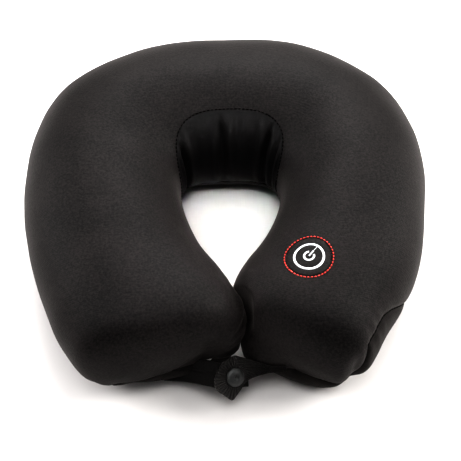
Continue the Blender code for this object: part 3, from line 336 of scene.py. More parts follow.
def angles(share):
    a, b, c = seam_out(share), 148.0, seam_low(share)
    up = a + (b - a) * spaced(N_UP, 0.75)
    inner = b + (c - b) * spaced(N_IN, 0.55)
    down = c + (360.0 + a - c) * spaced(N_DOWN, 0.75)
    return np.concatenate([up[:-1], inner[:-1], down[:-1]])


PHI = np.stack([angles(s) for s in ROWS])
COLS = PHI.shape[1]
BASE = surface(ROWS[:, None], PHI)


def normals(grid):
    du = np.gradient(grid, axis=0)
    ring = np.concatenate([grid[:, -1:], grid, grid[:, :1]], axis=1)
    dv = (ring[:, 2:] - ring[:, :-2]) * 0.5
    n = np.cross(du, dv)
    ln = np.linalg.norm(n, axis=2, keepdims=True)
    n = n / np.maximum(ln, 1e-12)
    centre = grid.mean(axis=1, keepdims=True)
    flip = np.sign(np.sum(n * (grid - centre), axis=2, keepdims=True).mean())
    return n * flip


NORM = normals(BASE)
J_LOW = N_UP + N_IN


def ring_length(grid):
    """Distance round the section from the outer seam, for every grid point."""
    ring = np.concatenate([grid, grid[:, :1]], axis=1)
    step = np.linalg.norm(np.diff(ring, axis=1), axis=2)
    run = np.concatenate([np.zeros((len(grid), 1)), np.cumsum(step, axis=1)], axis=1)
    return run[:, :-1], run[:, -1:]


RUN, ROUND = ring_length(BASE)
S = ROWS[:, None] + 0.0 * PHI


def unevenness(points):
    """Slow hollows and swellings of the bead filling, for an array of points."""
    flat = points.reshape(-1, 3)
    out = np.zeros(len(flat))
    for i, p in enumerate(flat):
        out[i] = 0.0014 * noise.noise(Vector((p[0] * 17.0, p[1] * 17.0, p[2] * 17.0 + 3.0)))
        out[i] += 0.0004 * noise.noise(Vector((p[0] * 45.0, p[1] * 45.0, p[2] * 45.0 + 9.0)))
    return out.reshape(points.shape[:-1]) * smooth(points[..., 2], 0.002, 0.02)


def cover_shape(points, share, to_out, to_low):
    """Outward displacement of the cover, in metres."""
    d = unevenness(points)
    end = np.minimum(share, 1.0 - share) * LENGTH
    pucker = 0.5 + 0.5 * np.sin(share * LENGTH / 0.0062 * math.pi + 2.0 * np.sin(share * 61.0))
    d -= 0.0014 * bell(to_out, 0.0, 0.0022) + 0.0006 * bell(to_out, 0.0, 0.008)
    d -= 0.0016 * np.exp(-end / 0.030) * pucker * bell(to_out, 0.004, 0.009)
    d -= 0.0012 * bell(to_low, 0.0, 0.0020)
    x, z = points[..., 0], points[..., 2]
    front = (share < 0.2) * smooth(-points[..., 1], 0.118, 0.136)
    d -= 0.0060 * front * bell(x, -0.0165 + 0.10 * (z - 0.03), 0.0065) * smooth(0.062 - z, 0.0, 0.030)
    d -= 0.0060 * front * smooth(0.024 - z, 0.0, 0.020) * smooth(x, -0.090, -0.066)
    d += 0.0016 * front * bell(x, 0.001, 0.010) * smooth(0.070 - z, 0.0, 0.030)
    d -= 0.0090 * front * smooth(x, -0.020, -0.008) * smooth(0.036 - z, 0.0, 0.026)
    edge = (share < 0.25) * smooth(-points[..., 1], 0.078, 0.100)
    edge = edge * bell(x - contact(points[..., 1], z), -0.005, 0.007)
    d += 0.0011 * edge * np.sin(z * 560.0 + 3.0 * np.sin(z * 150.0)) * smooth(z, 0.012, 0.030)
    right = (share > 0.8) * smooth(-points[..., 1], 0.104, 0.124)
    d += 0.0075 * right * bell(x, 0.012, 0.013) * bell(z, 0.024, 0.015)
    notch = (share > 0.8) * smooth(-points[..., 1], 0.128, 0.142)
    d -= 0.0040 * notch * bell(x, 0.0800, 0.0060) * smooth(0.058 - z, 0.0, 0.020)
    return d


# ------------------------------------------------------------------ how the stuffed knit settles
def inflate():
    """Start points and outward give of a coarse, slightly smaller copy blown up as cloth."""
    fs = np.concatenate([[0.0, 0.004, 0.015, 0.03], np.linspace(0.05, 0.95, 73), [0.97, 0.985, 0.996, 1.0]])
    fp = np.arange(0.0, 360.0, 9.0)
    g = surface(fs[:, None], fp[None, :], GIVE_INSET)
    n = len(fp)
    v = [tuple(p) for p in g.reshape(-1, 3)] + [tuple(g[0].mean(axis=0)), tuple(g[-1].mean(axis=0))]
    f = [(i * n + j, i * n + (j + 1) % n, (i + 1) * n + (j + 1) % n, (i + 1) * n + j)
         for i in range(len(fs) - 1) for j in range(n)]
    f += [(len(v) - 2, (j + 1) % n, j) for j in range(n)]
    k = (len(fs) - 1) * n
    f += [(len(v) - 1, k + j, k + (j + 1) % n) for j in range(n)]
    ob = consistent(mesh_object("settle", v, f))
    mod = ob.modifiers.new("remesh", "REMESH")
    mod.mode = "VOXEL"
    mod.voxel_size = GIVE_VOXEL
    me = bpy.data.meshes.new_from_object(ob.evaluated_get(bpy.context.evaluated_depsgraph_get()))
    ob.modifiers.clear()
    ob.data = me
    start = np.array([tuple(x.co) for x in me.vertices])
    nrm = np.array([tuple(x.normal) for x in me.vertices])
    cloth = ob.modifiers.new("cloth", "CLOTH")
    cloth.settings.use_pressure = True
    cloth.settings.uniform_pressure_force = GIVE_PRESSURE
    cloth.settings.effector_weights.gravity = 0.0
    cloth.point_cache.frame_start, cloth.point_cache.frame_end = 1, GIVE_FRAMES
    scene = bpy.context.scene
    for number in range(1, GIVE_FRAMES + 1):
        scene.frame_set(number)
    done = ob.evaluated_get(bpy.context.evaluated_depsgraph_get()).to_mesh()
    end = np.array([tuple(x.co) for x in done.vertices])
    scene.frame_set(1)
    bpy.data.objects.remove(ob, do_unlink=True)
    give = np.sum((end - start) * nrm, axis=1)
    mid = float(np.median(give))
    return start, np.clip(give - mid, -GIVE_CAP, GIVE_CAP)


GIVE = None
GIVE_AT, GIVE = inflate()
GIVE_TREE = KDTree(len(GIVE_AT))
for number, p in enumerate(GIVE_AT):
    GIVE_TREE.insert(p, number)
GIVE_TREE.balance()


def settled(points):
    """Outward give at an array of points, faded out at the ground and where the lobes touch."""
    if GIVE is None:
        return np.zeros(points.shape[:-1])
    out = np.zeros(points.shape[:-1]).ravel()
    for i, p in enumerate(points.reshape(-1, 3)):
        total = weight = 0.0
        for _, number, away in GIVE_TREE.find_n(p, 10):
            w = math.exp(-(away / 0.007) ** 2) + 1e-6
            total += w * GIVE[number]
            weight += w
        out[i] = total / weight
    out = out.reshape(points.shape[:-1])
    x, y, z = points[..., 0], points[..., 1], points[..., 2]
    apart = np.where(y < -0.040, smooth(np.abs(x - contact(y, z)), 0.001, 0.014), 1.0)
    return out * smooth(z, 0.003, 0.020) * apart


def tucked(share, phi):
    """Inward tuck of the underside along the inner edge of the back."""
    return -TUCK * bell(phi, 224.0, 24.0) * (1.0 - smooth(np.abs(np.asarray(share) - 0.5), 0.10, 0.21))


TO_OUT = np.minimum(RUN, ROUND - RUN)
TO_LOW = np.abs(RUN - RUN[:, J_LOW:J_LOW + 1])
GRID = BASE + NORM * (cover_shape(BASE, S, TO_OUT, TO_LOW) + settled(BASE) + tucked(S, PHI))[..., None]
GRID[..., 2] = np.maximum(GRID[..., 2], 0.0)
NORM2 = normals(GRID)

# neck panel: (position across, slant, width, height) of its gathered folds
NECK_FOLDS = [
    (-0.60, 0.06, 0.050, -0.0036), (-0.71, 0.03, 0.055, 0.0010), (-0.47, 0.05, 0.060, 0.0010),
    (-0.005, 0.020, 0.050, -0.0022), (-0.105, 0.01, 0.060, 0.0014), (0.085, 0.01, 0.045, 0.0009),
    (0.235, 0.02, 0.055, 0.0010), (0.16, 0.00, 0.035, -0.0004), (-0.30, 0.02, 0.050, -0.0004),
    (0.38, 0.00, 0.045, -0.0008), (0.58, -0.03, 0.050, -0.0036), (0.47, 0.00, 0.045, 0.0004),
    (0.70, 0.00, 0.045, 0.0011), (-0.84, 0.05, 0.026, -0.0007), (-0.90, 0.05, 0.022, 0.0006),
    (0.80, -0.03, 0.024, -0.0007), (0.87, -0.03, 0.022, 0.0006),
]
N_ACROSS, N_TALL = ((260, 56))
U = np.sin(np.linspace(-0.5 * math.pi, 0.5 * math.pi, N_ACROSS)) * 0.7 + np.linspace(-1, 1, N_ACROSS) * 0.3
NS = NECK_MID + NECK_HALF * U[:, None] * 0.9995
V = spaced(N_TALL, 0.6)[None, :]
NPHI = seam_neck(NS) + (seam_low(NS) - seam_neck(NS)) * V
NS = NS + 0.0 * NPHI
NV = V + 0.0 * NPHI
NU = U[:, None] + 0.0 * NPHI
NB = surface(NS, NPHI)


def grid_normals(grid, centre):
    n = np.cross(np.gradient(grid, axis=0), np.gradient(grid, axis=1))
    n /= np.maximum(np.linalg.norm(n, axis=2, keepdims=True), 1e-12)
    mid = n[n.shape[0] // 2, n.shape[1] // 2]
    sign = 1.0 if mid.dot(grid[grid.shape[0] // 2, grid.shape[1] // 2] - centre) > 0.0 else -1.0
    return n * sign


def neck_shape():
    step = np.linalg.norm(np.diff(NB, axis=1), axis=2)
    run = np.concatenate([np.zeros((N_ACROSS, 1)), np.cumsum(step, axis=1)], axis=1)
    low = run[:, -1:] - run
    d = cover_shape(NB, NS, 1.0 + 0.0 * run, low)
    edge = np.minimum(run, 0.03)
    lift = smooth(NV, 0.04, 0.30) * (1.0 - 0.75 * smooth(NV, 0.86, 1.0)) * smooth(run[:, -1:], 0.0, 0.02)
    folds = np.zeros_like(NB[..., 0])
    for pos, slant, wide, amp in NECK_FOLDS:
        folds += amp * bell(NU, pos + slant * (NV - 0.3), wide * (0.7 + 0.6 * NV))
    d = d + lift * folds
    gathers = smooth(NV, 0.02, 0.06) * (1.0 - smooth(NV, 0.10, 0.35))
    d += gathers * 0.00015 * np.sin(NU * 52.0 + 1.7 * np.sin(NU * 9.0))
    # the edge is turned under and sewn down
    d += 0.0003 * smooth(edge, 0.0002, 0.0012) - 0.0001
    return d


NN = grid_normals(NB, np.array(BACK_CENTRE))
NGRID = NB + NN * (neck_shape() + settled(NB) + tucked(NS, NPHI))[..., None]


def patch_of_grid(name, cells, caps=False):
    """Mesh from grid cells (row, column); columns wrap round the section."""
    used = {}
    verts, faces = [], []

    def idx(i, j):
        key = (i, j % COLS)
        if key not in used:
            used[key] = len(verts)
            verts.append(GRID[key])
        return used[key]

    for i, j in cells:
        faces.append((idx(i, j), idx(i + 1, j), idx(i + 1, j + 1), idx(i, j + 1)))
    if caps:
        for i, turn in ((0, 1), (len(ROWS) - 1, -1)):
            mid = len(verts)
            verts.append(GRID[i].mean(axis=0))
            for j in range(COLS):
                tri = (mid, idx(i, j), idx(i, j + 1))
                faces.append(tri if turn > 0 else tri[::-1])
    return mesh_object(name, verts, faces)


def skin_cells(lo, hi, r0, r1):
    return [(i, j) for i in range(r0, r1) for j in range(lo, hi)]


R = len(ROWS)


def under_neck(i, j):
    """True for a cell of the top cover that lies well inside the neck panel."""
    for share in (ROWS[i], ROWS[i + 1]):
        if abs(float(across_neck(share))) > 0.985 or PHI[i, j] < float(seam_neck(share)) + 1.2:
            return False
    return True


top_cells = [c for c in skin_cells(0, J_LOW, 0, R - 1) if not under_neck(*c)]
low_cells = skin_cells(J_LOW, COLS, 0, R - 1)
cover = patch_of_grid("cover_top", top_cells, caps=True)
nv = [tuple(p) for p in NGRID.reshape(-1, 3)]
nt = N_TALL + 1
nf = [(i * nt + j, (i + 1) * nt + j, (i + 1) * nt + j + 1, i * nt + j + 1)
      for i in range(N_ACROSS - 1) for j in range(N_TALL)]
neck = mesh_object("cover_neck", nv, nf)
base = patch_of_grid("cover_base", low_cells)

for ob in (cover, neck, base):
    bm = bmesh.new()
    bm.from_mesh(ob.data)
    bmesh.ops.recalc_face_normals(bm, faces=bm.faces)
    centre = Vector(BACK_CENTRE)
    total = 0.0
    for f in bm.faces:
        c = f.calc_center_median()
        if abs(c.x) < 0.05 and c.y > 0.0:
            total += f.normal.dot(c - centre) * f.calc_area()
    if total < 0.0:
        bmesh.ops.reverse_faces(bm, faces=bm.faces)
    bm.to_mesh(ob.data)
    bm.free()

# tree of the whole skin, for laying things on it
allv, allf = [], []
for ob in (cover, neck, base):
    k = len(allv)
    allv += [v.co.copy() for v in ob.data.vertices]
    allf += [tuple(k + i for i in p.vertices) for p in ob.data.polygons]
SKIN = BVHTree.FromPolygons(allv, allf)


def on_top(x, y):
    """Point and normal of the skin right below a place; None, None where there is no skin."""
    return SKIN.ray_cast(Vector((x, y, 0.4)), Vector((0, 0, -1)))[:2]


def under(p):
    """The skin's underside at the place of a point."""
    hit = SKIN.ray_cast(Vector((p.x, p.y, -0.05)), Vector((0, 0, 1)))
    return Vector((p.x, p.y, hit[0].z))


# ------------------------------------------------------------------ power patch
pb_lo, pb_hi = (np.array(c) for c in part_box("power_patch"))
PC = Vector((0.5 * (pb_lo[0] + pb_hi[0]) - 0.0006, 0.5 * (pb_lo[1] + pb_hi[1]) - 0.0016, 0.0))
PR = 0.25 * (pb_hi[0] - pb_lo[0] + pb_hi[1] - pb_lo[1])


def ring_on_skin(r, n):
    turns = [2.0 * math.pi * k / n for k in range(n)]
    return [on_top(PC.x + r * math.cos(a), PC.y + r * math.sin(a))[0] for a in turns]


def open_hole(ob, inside, loop_points, near):
    """Removes the faces that inside() picks and sews the edge to the given loop."""
    bm = bmesh.new()
    bm.from_mesh(ob.data)
    for _ in range(2):
        picked = [f for f in bm.faces if near(f.calc_center_median())]
        edges = list({e for f in picked for e in f.edges})
        bmesh.ops.subdivide_edges(bm, edges=edges, cuts=1, use_grid_fill=True, smooth=0.0)
    gone = [f for f in bm.faces if inside(f.calc_center_median())]
    bmesh.ops.delete(bm, geom=gone, context="FACES")
    edge_loop = [e for e in bm.edges if e.is_boundary and inside_wide(e, loop_points)]
    new = [bm.verts.new(p) for p in loop_points]
    ring = [bm.edges.new((new[i], new[(i + 1) % len(new)])) for i in range(len(new))]
    bmesh.ops.bridge_loops(bm, edges=edge_loop + ring)
    bmesh.ops.recalc_face_normals(bm, faces=bm.faces)
    bm.to_mesh(ob.data)
    bm.free()
    ob.data.shade_smooth()


def inside_wide(e, loop_points):
    c = 0.5 * (e.verts[0].co + e.verts[1].co)
    mid = sum(loop_points, Vector()) / len(loop_points)
    reach = max((p - mid).length for p in loop_points) + 0.008
    return (c - mid).length < reach


hole_ring = ring_on_skin(PR + 0.00025, 64)
disc_rings = [[PC + Vector((0, 0, on_top(PC.x, PC.y)[0].z))]]
for r in np.linspace(0.0, PR, 15)[1:]:
    disc_rings.append(ring_on_skin(r, 64))
open_hole(cover, lambda c: (Vector((c.x, c.y, 0)) - PC).length < PR + 0.0006 and c.z > 0.05, hole_ring,
          lambda c: abs((Vector((c.x, c.y, 0)) - PC).length - PR) < 0.0032 and c.z > 0.05)


def disc_mesh(name, rings, rise):
    """Round sheet from a centre point and rings, with its edge turned down."""
    v = [tuple(rings[0][0] + Vector((0, 0, rise(0.0))))]
    f = []
    n = len(rings[1])
    for k, ring in enumerate(rings[1:], 1):
        u = k / (len(rings) - 1)
        v += [tuple(p + Vector((0, 0, rise(u)))) for p in ring]
    for k in range(n):
        f.append((0, 1 + k, 1 + (k + 1) % n))
    for m in range(len(rings) - 2):
        a, b = 1 + m * n, 1 + (m + 1) * n
        for k in range(n):
            f.append((a + k, b + k, b + (k + 1) % n, a + (k + 1) % n))
    last = 1 + (len(rings) - 2) * n
    down = len(v)
    v += [(p.x, p.y, p.z - 0.0022) for p in rings[-1]]
    for k in range(n):
        f.append((last + k, down + k, down + (k + 1) % n, last + (k + 1) % n))
    return mesh_object(name, v, f)


patch = disc_mesh("patch_disc", disc_rings, lambda u: 0.0007 * (1.0 - u * u) - 0.0003 * bell(u, 0.66, 0.08))
PATCH_TREE = BVHTree.FromPolygons([v.co.copy() for v in patch.data.vertices],
                                  [tuple(p.vertices) for p in patch.data.polygons])


def on_patch(x, y):
    p, n = PATCH_TREE.ray_cast(Vector((PC.x + x, PC.y + y, 0.4)), Vector((0, 0, -1)))[:2]
    return (p, n) if p is not None else on_top(PC.x + x, PC.y + y)


def thread_band(name, path, half_width, height, steps_across=7, closed=False):
    """Satin stitched band along a path on the patch, domed across its width."""
    pts = [Vector((p[0], p[1], 0.0)) for p in path]
    n = len(pts)
    v, f = [], []
    for i in range(n):
        a = pts[(i - 1) % n] if closed or i else pts[i]
        b = pts[(i + 1) % n] if closed or i < n - 1 else pts[i]
        t = (b - a).normalized()
        side = Vector((-t.y, t.x, 0.0))
        for k in range(steps_across):
            u = -1.0 + 2.0 * k / (steps_across - 1)
            wob = 1.0 + 0.05 * math.sin(i * 2.1) * (abs(u) > 0.9)
            q = pts[i] + side * (half_width * u * wob)
            p, nn = on_patch(q.x, q.y)
            rise = height * math.sqrt(max(0.0, 1.0 - u * u)) - 0.00005
            v.append(tuple(p + nn * rise))
    last = n if closed else n - 1
    for i in range(last):
        m = (i + 1) % n
        for k in range(steps_across - 1):
            f.append((i * steps_across + k, m * steps_across + k, m * steps_across + k + 1,
                      i * steps_across + k + 1))
    return mesh_object(name, v, f)


def circle(r, n, a0=0.0, a1=2.0 * math.pi, closed=True):
    m = n if closed else n - 1
    return [(r * math.cos(a0 + (a1 - a0) * k / m), r * math.sin(a0 + (a1 - a0) * k / m)) for k in range(n)]


MARK = math.radians(48.0)
bands = [thread_band("mark_outer", circle(0.0095, 150), 0.00080, 0.00050, closed=True)]
gap = math.radians(36.0)
bands.append(thread_band("mark_inner", circle(0.0032, 60, MARK + gap, MARK + 2 * math.pi - gap, False),
                         0.00075, 0.0005))
ca, sa = math.cos(MARK), math.sin(MARK)
bar = [(r * ca, r * sa) for r in np.linspace(-0.0002, 0.0048, 22)]
bands.append(thread_band("mark_bar", bar, 0.0006, 0.0005))
fine_bar = [(r * ca, r * sa) for r in np.linspace(0.0046, 0.0090, 16)]
bands.append(thread_band("mark_tie", fine_bar, 0.00022, 0.0003))


def stitch_line(name, points, normals_at, length, gap_len, radius, lift=0.0002, lean=0.0):
    """Row of sewn stitches laid along a line of points."""
    pts = [Vector(p) for p in points]
    run = [0.0]
    for a, b in zip(pts[:-1], pts[1:]):
        run.append(run[-1] + (b - a).length)
    total = run[-1]
    count = max(1, int(round(total / (length + gap_len))))
    step = total / count
    share = length / (length + gap_len)
    v, f = [], []

    def at(s):
        s = min(max(s, 0.0), total)
        k = min(int(np.searchsorted(run, s, side="right")) - 1, len(pts) - 2)
        u = (s - run[k]) / max(run[k + 1] - run[k], 1e-9)
        return pts[k].lerp(pts[k + 1], u), Vector(normals_at[k]).lerp(Vector(normals_at[k + 1]), u).normalized()

    for c in range(count):
        s0 = step * (c + 0.5 - 0.5 * share)
        s1 = step * (c + 0.5 + 0.5 * share)
        start = len(v)
        for i in range(6):
            u = i / 5.0
            p, nn = at(s0 + (s1 - s0) * u)
            t = (at(s1)[0] - at(s0)[0]).normalized()
            side = nn.cross(t).normalized()
            arch = math.sin(math.pi * u)
            r = radius * (0.45 + 0.55 * arch)
            c0 = p + nn * (lift * arch + 0.25 * radius) + side * (lean * (u - 0.5))
            for m in range(6):
                w = 2.0 * math.pi * m / 6
                v.append(tuple(c0 + side * (r * math.cos(w)) + nn * (r * math.sin(w))))
        for i in range(5):
            for m in range(6):
                a, b = start + i * 6 + m, start + i * 6 + (m + 1) % 6
                f.append((a, b, b + 6, a + 6))
        f.append(tuple(start + m for m in range(5, -1, -1)))
        f.append(tuple(start + 30 + m for m in range(6)))
    return mesh_object(name, v, f)


sr = PR + 0.0011
ring_pts, ring_nrm = [], []
for k in range(181):
    a = 2.0 * math.pi * k / 180
    p, q = on_top(PC.x + sr * math.cos(a), PC.y + sr * math.sin(a))
    ring_pts.append(p)
    ring_nrm.append(q)
red_ring = stitch_line("red_stitches", ring_pts, ring_nrm, 0.00160, 0.00070, 0.00050, 0.0003)

# ------------------------------------------------------------------ seam stitching
neck_stitch = stitch_line("neck_seam", [NGRID[i, 0] for i in range(1, N_ACROSS - 1)],
                          [NN[i, 1] for i in range(1, N_ACROSS - 1)], 0.0021, 0.0008, 0.00042, 0.00012)
out_line = [GRID[i, 0] for i in range(2, R - 2)]
out_nrm = [NORM2[i, 0] for i in range(2, R - 2)]
out_stitch = stitch_line("outer_seam", out_line, out_nrm, 0.0026, 0.0010, 0.00032, 0.0001)
low_line = [GRID[i, J_LOW] for i in range(2, R - 2)]
low_nrm = [NORM2[i, J_LOW] for i in range(2, R - 2)]
low_stitch = stitch_line("inner_seam", low_line, low_nrm, 0.0026, 0.0010, 0.00032, 0.0001)

# ------------------------------------------------------------------ zip opening in the base
st_f = [np.array(c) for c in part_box("zip_stop_front")]
st_b = [np.array(c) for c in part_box("zip_stop_back")]
zf = 0.5 * (st_f[0] + st_f[1])
zb = 0.5 * (st_b[0] + st_b[1])
ZC = Vector((0.5 * (zf[0] + zb[0]), 0.5 * (zf[1] + zb[1]), 0.0))
ZD = Vector((zb[0] - zf[0], zb[1] - zf[1], 0.0))
ZL = ZD.length + 0.0050
ZD.normalize()
ZS = Vector((-ZD.y, ZD.x, 0.0))


def zip_loop(length, width, radius, steps=5):
    pts = []
    for sx, sy, a0 in ((1, 1, 0), (-1, 1, 90), (-1, -1, 180), (1, -1, 270)):
        for k in range(steps + 1):
            a = math.radians(a0 + 90.0 * k / steps)
            u = sx * (0.5 * length - radius) + radius * math.cos(a)
            w = sy * (0.5 * width - radius) + radius * math.sin(a)
            pts.append(under(ZC + ZD * u + ZS * w))
    full = []
    for i, p in enumerate(pts):
        q = pts[(i + 1) % len(pts)]
        cuts = max(1, int((q - p).length / 0.004))
        for c in range(cuts):
            full.append(under(p.lerp(q, c / cuts)))
    return full


def in_slot(c):
    d = c - ZC
    return abs(d.dot(ZD)) < 0.5 * ZL + 0.0012 and abs(d.dot(ZS)) < 0.0046 + 0.0012 and c.z < 0.01


slot_loop = zip_loop(ZL - 0.0002, 0.0092, 0.0028)
open_hole(base, in_slot, slot_loop,
          lambda c: abs((c - ZC).dot(ZD)) < 0.5 * ZL + 0.003 and abs((c - ZC).dot(ZS)) < 0.0085 and c.z < 0.01)
lip_line = slot_loop + [slot_loop[0]]
lip_out = []
for p in lip_line:
    d = Vector((p.x, p.y, 0.0)) - ZC
    u, w = d.dot(ZD), d.dot(ZS)
    q = ZC + ZD * (u + 0.0016 * (1 if u > 0 else -1) * (abs(u) > 0.5 * ZL - 0.002))
    q = q + ZS * (w + 0.0022 * (1 if w > 0 else -1))
    lip_out.append(under(q))
zip_stitch = stitch_line("zip_seam", lip_out, [Vector((0, 0, -1))] * len(lip_out), 0.0022, 0.0008, 0.00028, 0.0)

# the covers get a thickness inwards, so their edges look like cloth
for ob in (cover, neck, base):
    mod = ob.modifiers.new("cloth", "SOLIDIFY")
    mod.thickness = CLOTH_THICK
    mod.offset = -1.0

# ------------------------------------------------------------------ bead filling
fill_rows = np.concatenate([[0.0, 0.002, 0.008, 0.02, 0.035], np.linspace(0.05, 0.95, 61),
                            [0.965, 0.98, 0.992, 0.998, 1.0]])
fp = np.arange(0.0, 360.0, 12.0)
fg = surface(fill_rows[:, None], fp[None, :], BEAD_DEPTH)
fg = fg + normals(fg) * tucked(fill_rows[:, None], fp[None, :])[..., None]
fv = [tuple(p) for p in fg.reshape(-1, 3)]
ff = []
nc = len(fp)
for i in range(len(fill_rows) - 1):
    for j in range(nc):
        m = (j + 1) % nc
        ff.append((i * nc + j, (i + 1) * nc + j, (i + 1) * nc + m, i * nc + m))
for i in (0, len(fill_rows) - 1):
    fv.append(tuple(fg[i].mean(axis=0)))
    for j in range(nc):
        ff.append((len(fv) - 1, i * nc + j, i * nc + (j + 1) % nc))
beads = consistent(mesh_object("bead_bag", fv, ff))
mp_lo, mp_hi = (np.array(c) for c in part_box("module_pocket"))
UC = Vector((0.5 * (mp_lo[0] + mp_hi[0]), 0.5 * (mp_lo[1] + mp_hi[1]), 0.0))


def cutter(name, outline, z0, z1):
    n = len(outline)
    v = [(x, y, z0) for x, y in outline] + [(x, y, z1) for x, y in outline]
    f = [tuple(range(n - 1, -1, -1)), tuple(range(n, 2 * n))]
    f += [(i, (i + 1) % n, n + (i + 1) % n, n + i) for i in range(n)]
    return mesh_object(name, v, f, smooth=False)


def local_rect(hx, hy):
    out = []
    for sx, sy in ((-1, -1), (1, -1), (1, 1), (-1, 1)):
        p = UC + ZD * (sx * hx) + ZS * (sy * hy)
        out.append((p.x, p.y))
    return out


for tool in (cutter("tool_a", local_rect(0.0515, 0.0245), -0.02, float(mp_hi[2]) + 0.0015),
             cutter("tool_b", [(PC.x + (PR + 0.002) * math.cos(a), PC.y + (PR + 0.002) * math.sin(a))
                               for a in np.linspace(0, 2 * math.pi, 25)[:-1]], float(mp_hi[2]) - 0.002, 0.2)):
    mod = beads.modifiers.new("cut", "BOOLEAN")
    mod.operation = "DIFFERENCE"
    mod.solver = "EXACT"
    mod.object = tool
    dg = bpy.context.evaluated_depsgraph_get()
    me = bpy.data.meshes.new_from_object(beads.evaluated_get(dg))
    beads.modifiers.clear()
    beads.data = me
    bpy.data.objects.remove(tool, do_unlink=True)

# ------------------------------------------------------------------ lining pocket round the unit
POCKET_HX, POCKET_HY, POCKET_R = 0.0494, 0.0224, 0.0045
POCKET_LOW, POCKET_TOP = float(mp_lo[2]), float(mp_hi[2])
MOUTH = Vector((0.5 * (pb_lo[0] + pb_hi[0]), 0.5 * (pb_lo[1] + pb_hi[1]), 0.0))
MOUTH_R = 0.0145


def pocket_ring(inset, z, n=192):
    """Rounded rectangle round the unit, set in by inset, at height z."""
    hx, hy, r = POCKET_HX - inset, POCKET_HY - inset, max(POCKET_R - inset, 0.0012)
    pts = []
    for k in range(n):
        a = 2.0 * math.pi * k / n
        c, sn = math.cos(a), math.sin(a)
        reach = 1.0 / max(abs(c) / hx, abs(sn) / hy)
        x, y = reach * c, reach * sn
        cx, cy = abs(x) - (hx - r), abs(y) - (hy - r)
        if cx > 0.0 and cy > 0.0:
            g = math.hypot(cx, cy)
            x = math.copysign(hx - r + cx * r / g, x)
            y = math.copysign(hy - r + cy * r / g, y)
        pts.append(UC + ZD * x + ZS * y + Vector((0.0, 0.0, z)))
    return pts


pocket_rows = []
for k in range(25):
    u = k / 24.0
    z = POCKET_LOW + (POCKET_TOP - 0.0016 - POCKET_LOW) * u
    ring = pocket_ring(0.0, z)
    for m, p in enumerate(ring):
        wave = 0.5 + 0.5 * noise.noise(Vector((p.x * 90.0, p.y * 90.0, z * 26.0 + 5.0)))
        wave += 0.35 * math.sin(m * 0.82 + 2.0 * u) * smooth(np.array(u), 0.7, 1.0)
        inward = (UC + Vector((0, 0, p.z)) - p).normalized()
        ring[m] = p + inward * (0.00045 * float(wave))
    pocket_rows.append(ring)
for inset, drop in ((0.0003, 0.0008), (0.0009, 0.0003), (0.0018, 0.00005)):
    pocket_rows.append(pocket_ring(inset, POCKET_TOP - drop))
last = pocket_rows[-1]
mouth = []
for p in last:
    d = Vector((p.x, p.y, 0.0)) - MOUTH
    mouth.append(MOUTH + d.normalized() * MOUTH_R + Vector((0.0, 0.0, POCKET_TOP - 0.0003)))
for k in range(1, 13):
    u = k / 12.0
    ring = []
    for p, q in zip(last, mouth):
        w = p.lerp(q, u)
        wave = 0.5 + 0.5 * noise.noise(Vector((w.x * 120.0, w.y * 120.0, 1.0)))
        w.z -= 0.00025 * wave * math.sin(math.pi * u)
        ring.append(w)
    pocket_rows.append(ring)
nv = [tuple(p) for ring in pocket_rows for p in ring]
npk = len(last)
nf = [(i * npk + k, i * npk + (k + 1) % npk, (i + 1) * npk + (k + 1) % npk, (i + 1) * npk + k)
      for i in range(len(pocket_rows) - 1) for k in range(npk)]
pocket = mesh_object("lining_pocket", nv, nf)
pocket_edge = [p for p in pocket_rows[23]] + [pocket_rows[23][0]]
pocket_out = [(p - UC - Vector((0, 0, p.z))).normalized() for p in pocket_edge]
pocket_seam = stitch_line("pocket_seam", pocket_edge, pocket_out, 0.0024, 0.0010, 0.00022, 0.0)

# ------------------------------------------------------------------ straps
TILT = math.radians(48.0)
ALONG = Vector((1.0, 0.0, 0.0))
UPW = Vector((0.0, math.sin(TILT), math.cos(TILT)))
OUTW = Vector((0.0, -math.cos(TILT), math.sin(TILT)))
SY = math.radians(24.0)
SNAP_DIR = (OUTW * math.cos(SY) + ALONG * math.sin(SY)).normalized()
SHIFT_Y = 0.00051
CAP = Vector((0.0017, -0.1415 + SHIFT_Y, 0.0250))
THICK_L, THICK_R = 0.0016, 0.0018
STACK = 0.5 * THICK_L + 0.0003 + 0.0006 + 0.0003 + 0.0020 + 0.0003
SNAP_O = CAP - SNAP_DIR * (STACK + THICK_R + 0.0003)


def plane_point(a, b, c):
    return CAP + ALONG * a + OUTW * b + UPW * c


def ab_of(p):
    d = p - CAP
    return d.dot(ALONG), d.dot(OUTW)


slope = -math.tan(SY)
la, lb = ab_of(SNAP_O)
ra, rb = ab_of(SNAP_O + SNAP_DIR * (STACK + 0.5 * THICK_R))


def catmull(rows, t):
    """Values of evenly indexed rows at t in 0..len-1."""
    rows = np.asarray(rows, float)
    t = np.clip(t, 0.0, len(rows) - 1.0)
    k = np.minimum(t.astype(int), len(rows) - 2)
    u = (t - k)[:, None]
    p0, p1 = rows[np.maximum(k - 1, 0)], rows[k]
    p2, p3 = rows[k + 1], rows[np.minimum(k + 2, len(rows) - 1)]
    return 0.5 * (2 * p1 + (p2 - p0) * u + (2 * p0 - 5 * p1 + 4 * p2 - p3) * u ** 2
                  + (3 * p1 - 3 * p2 + p3 - p0) * u ** 3)


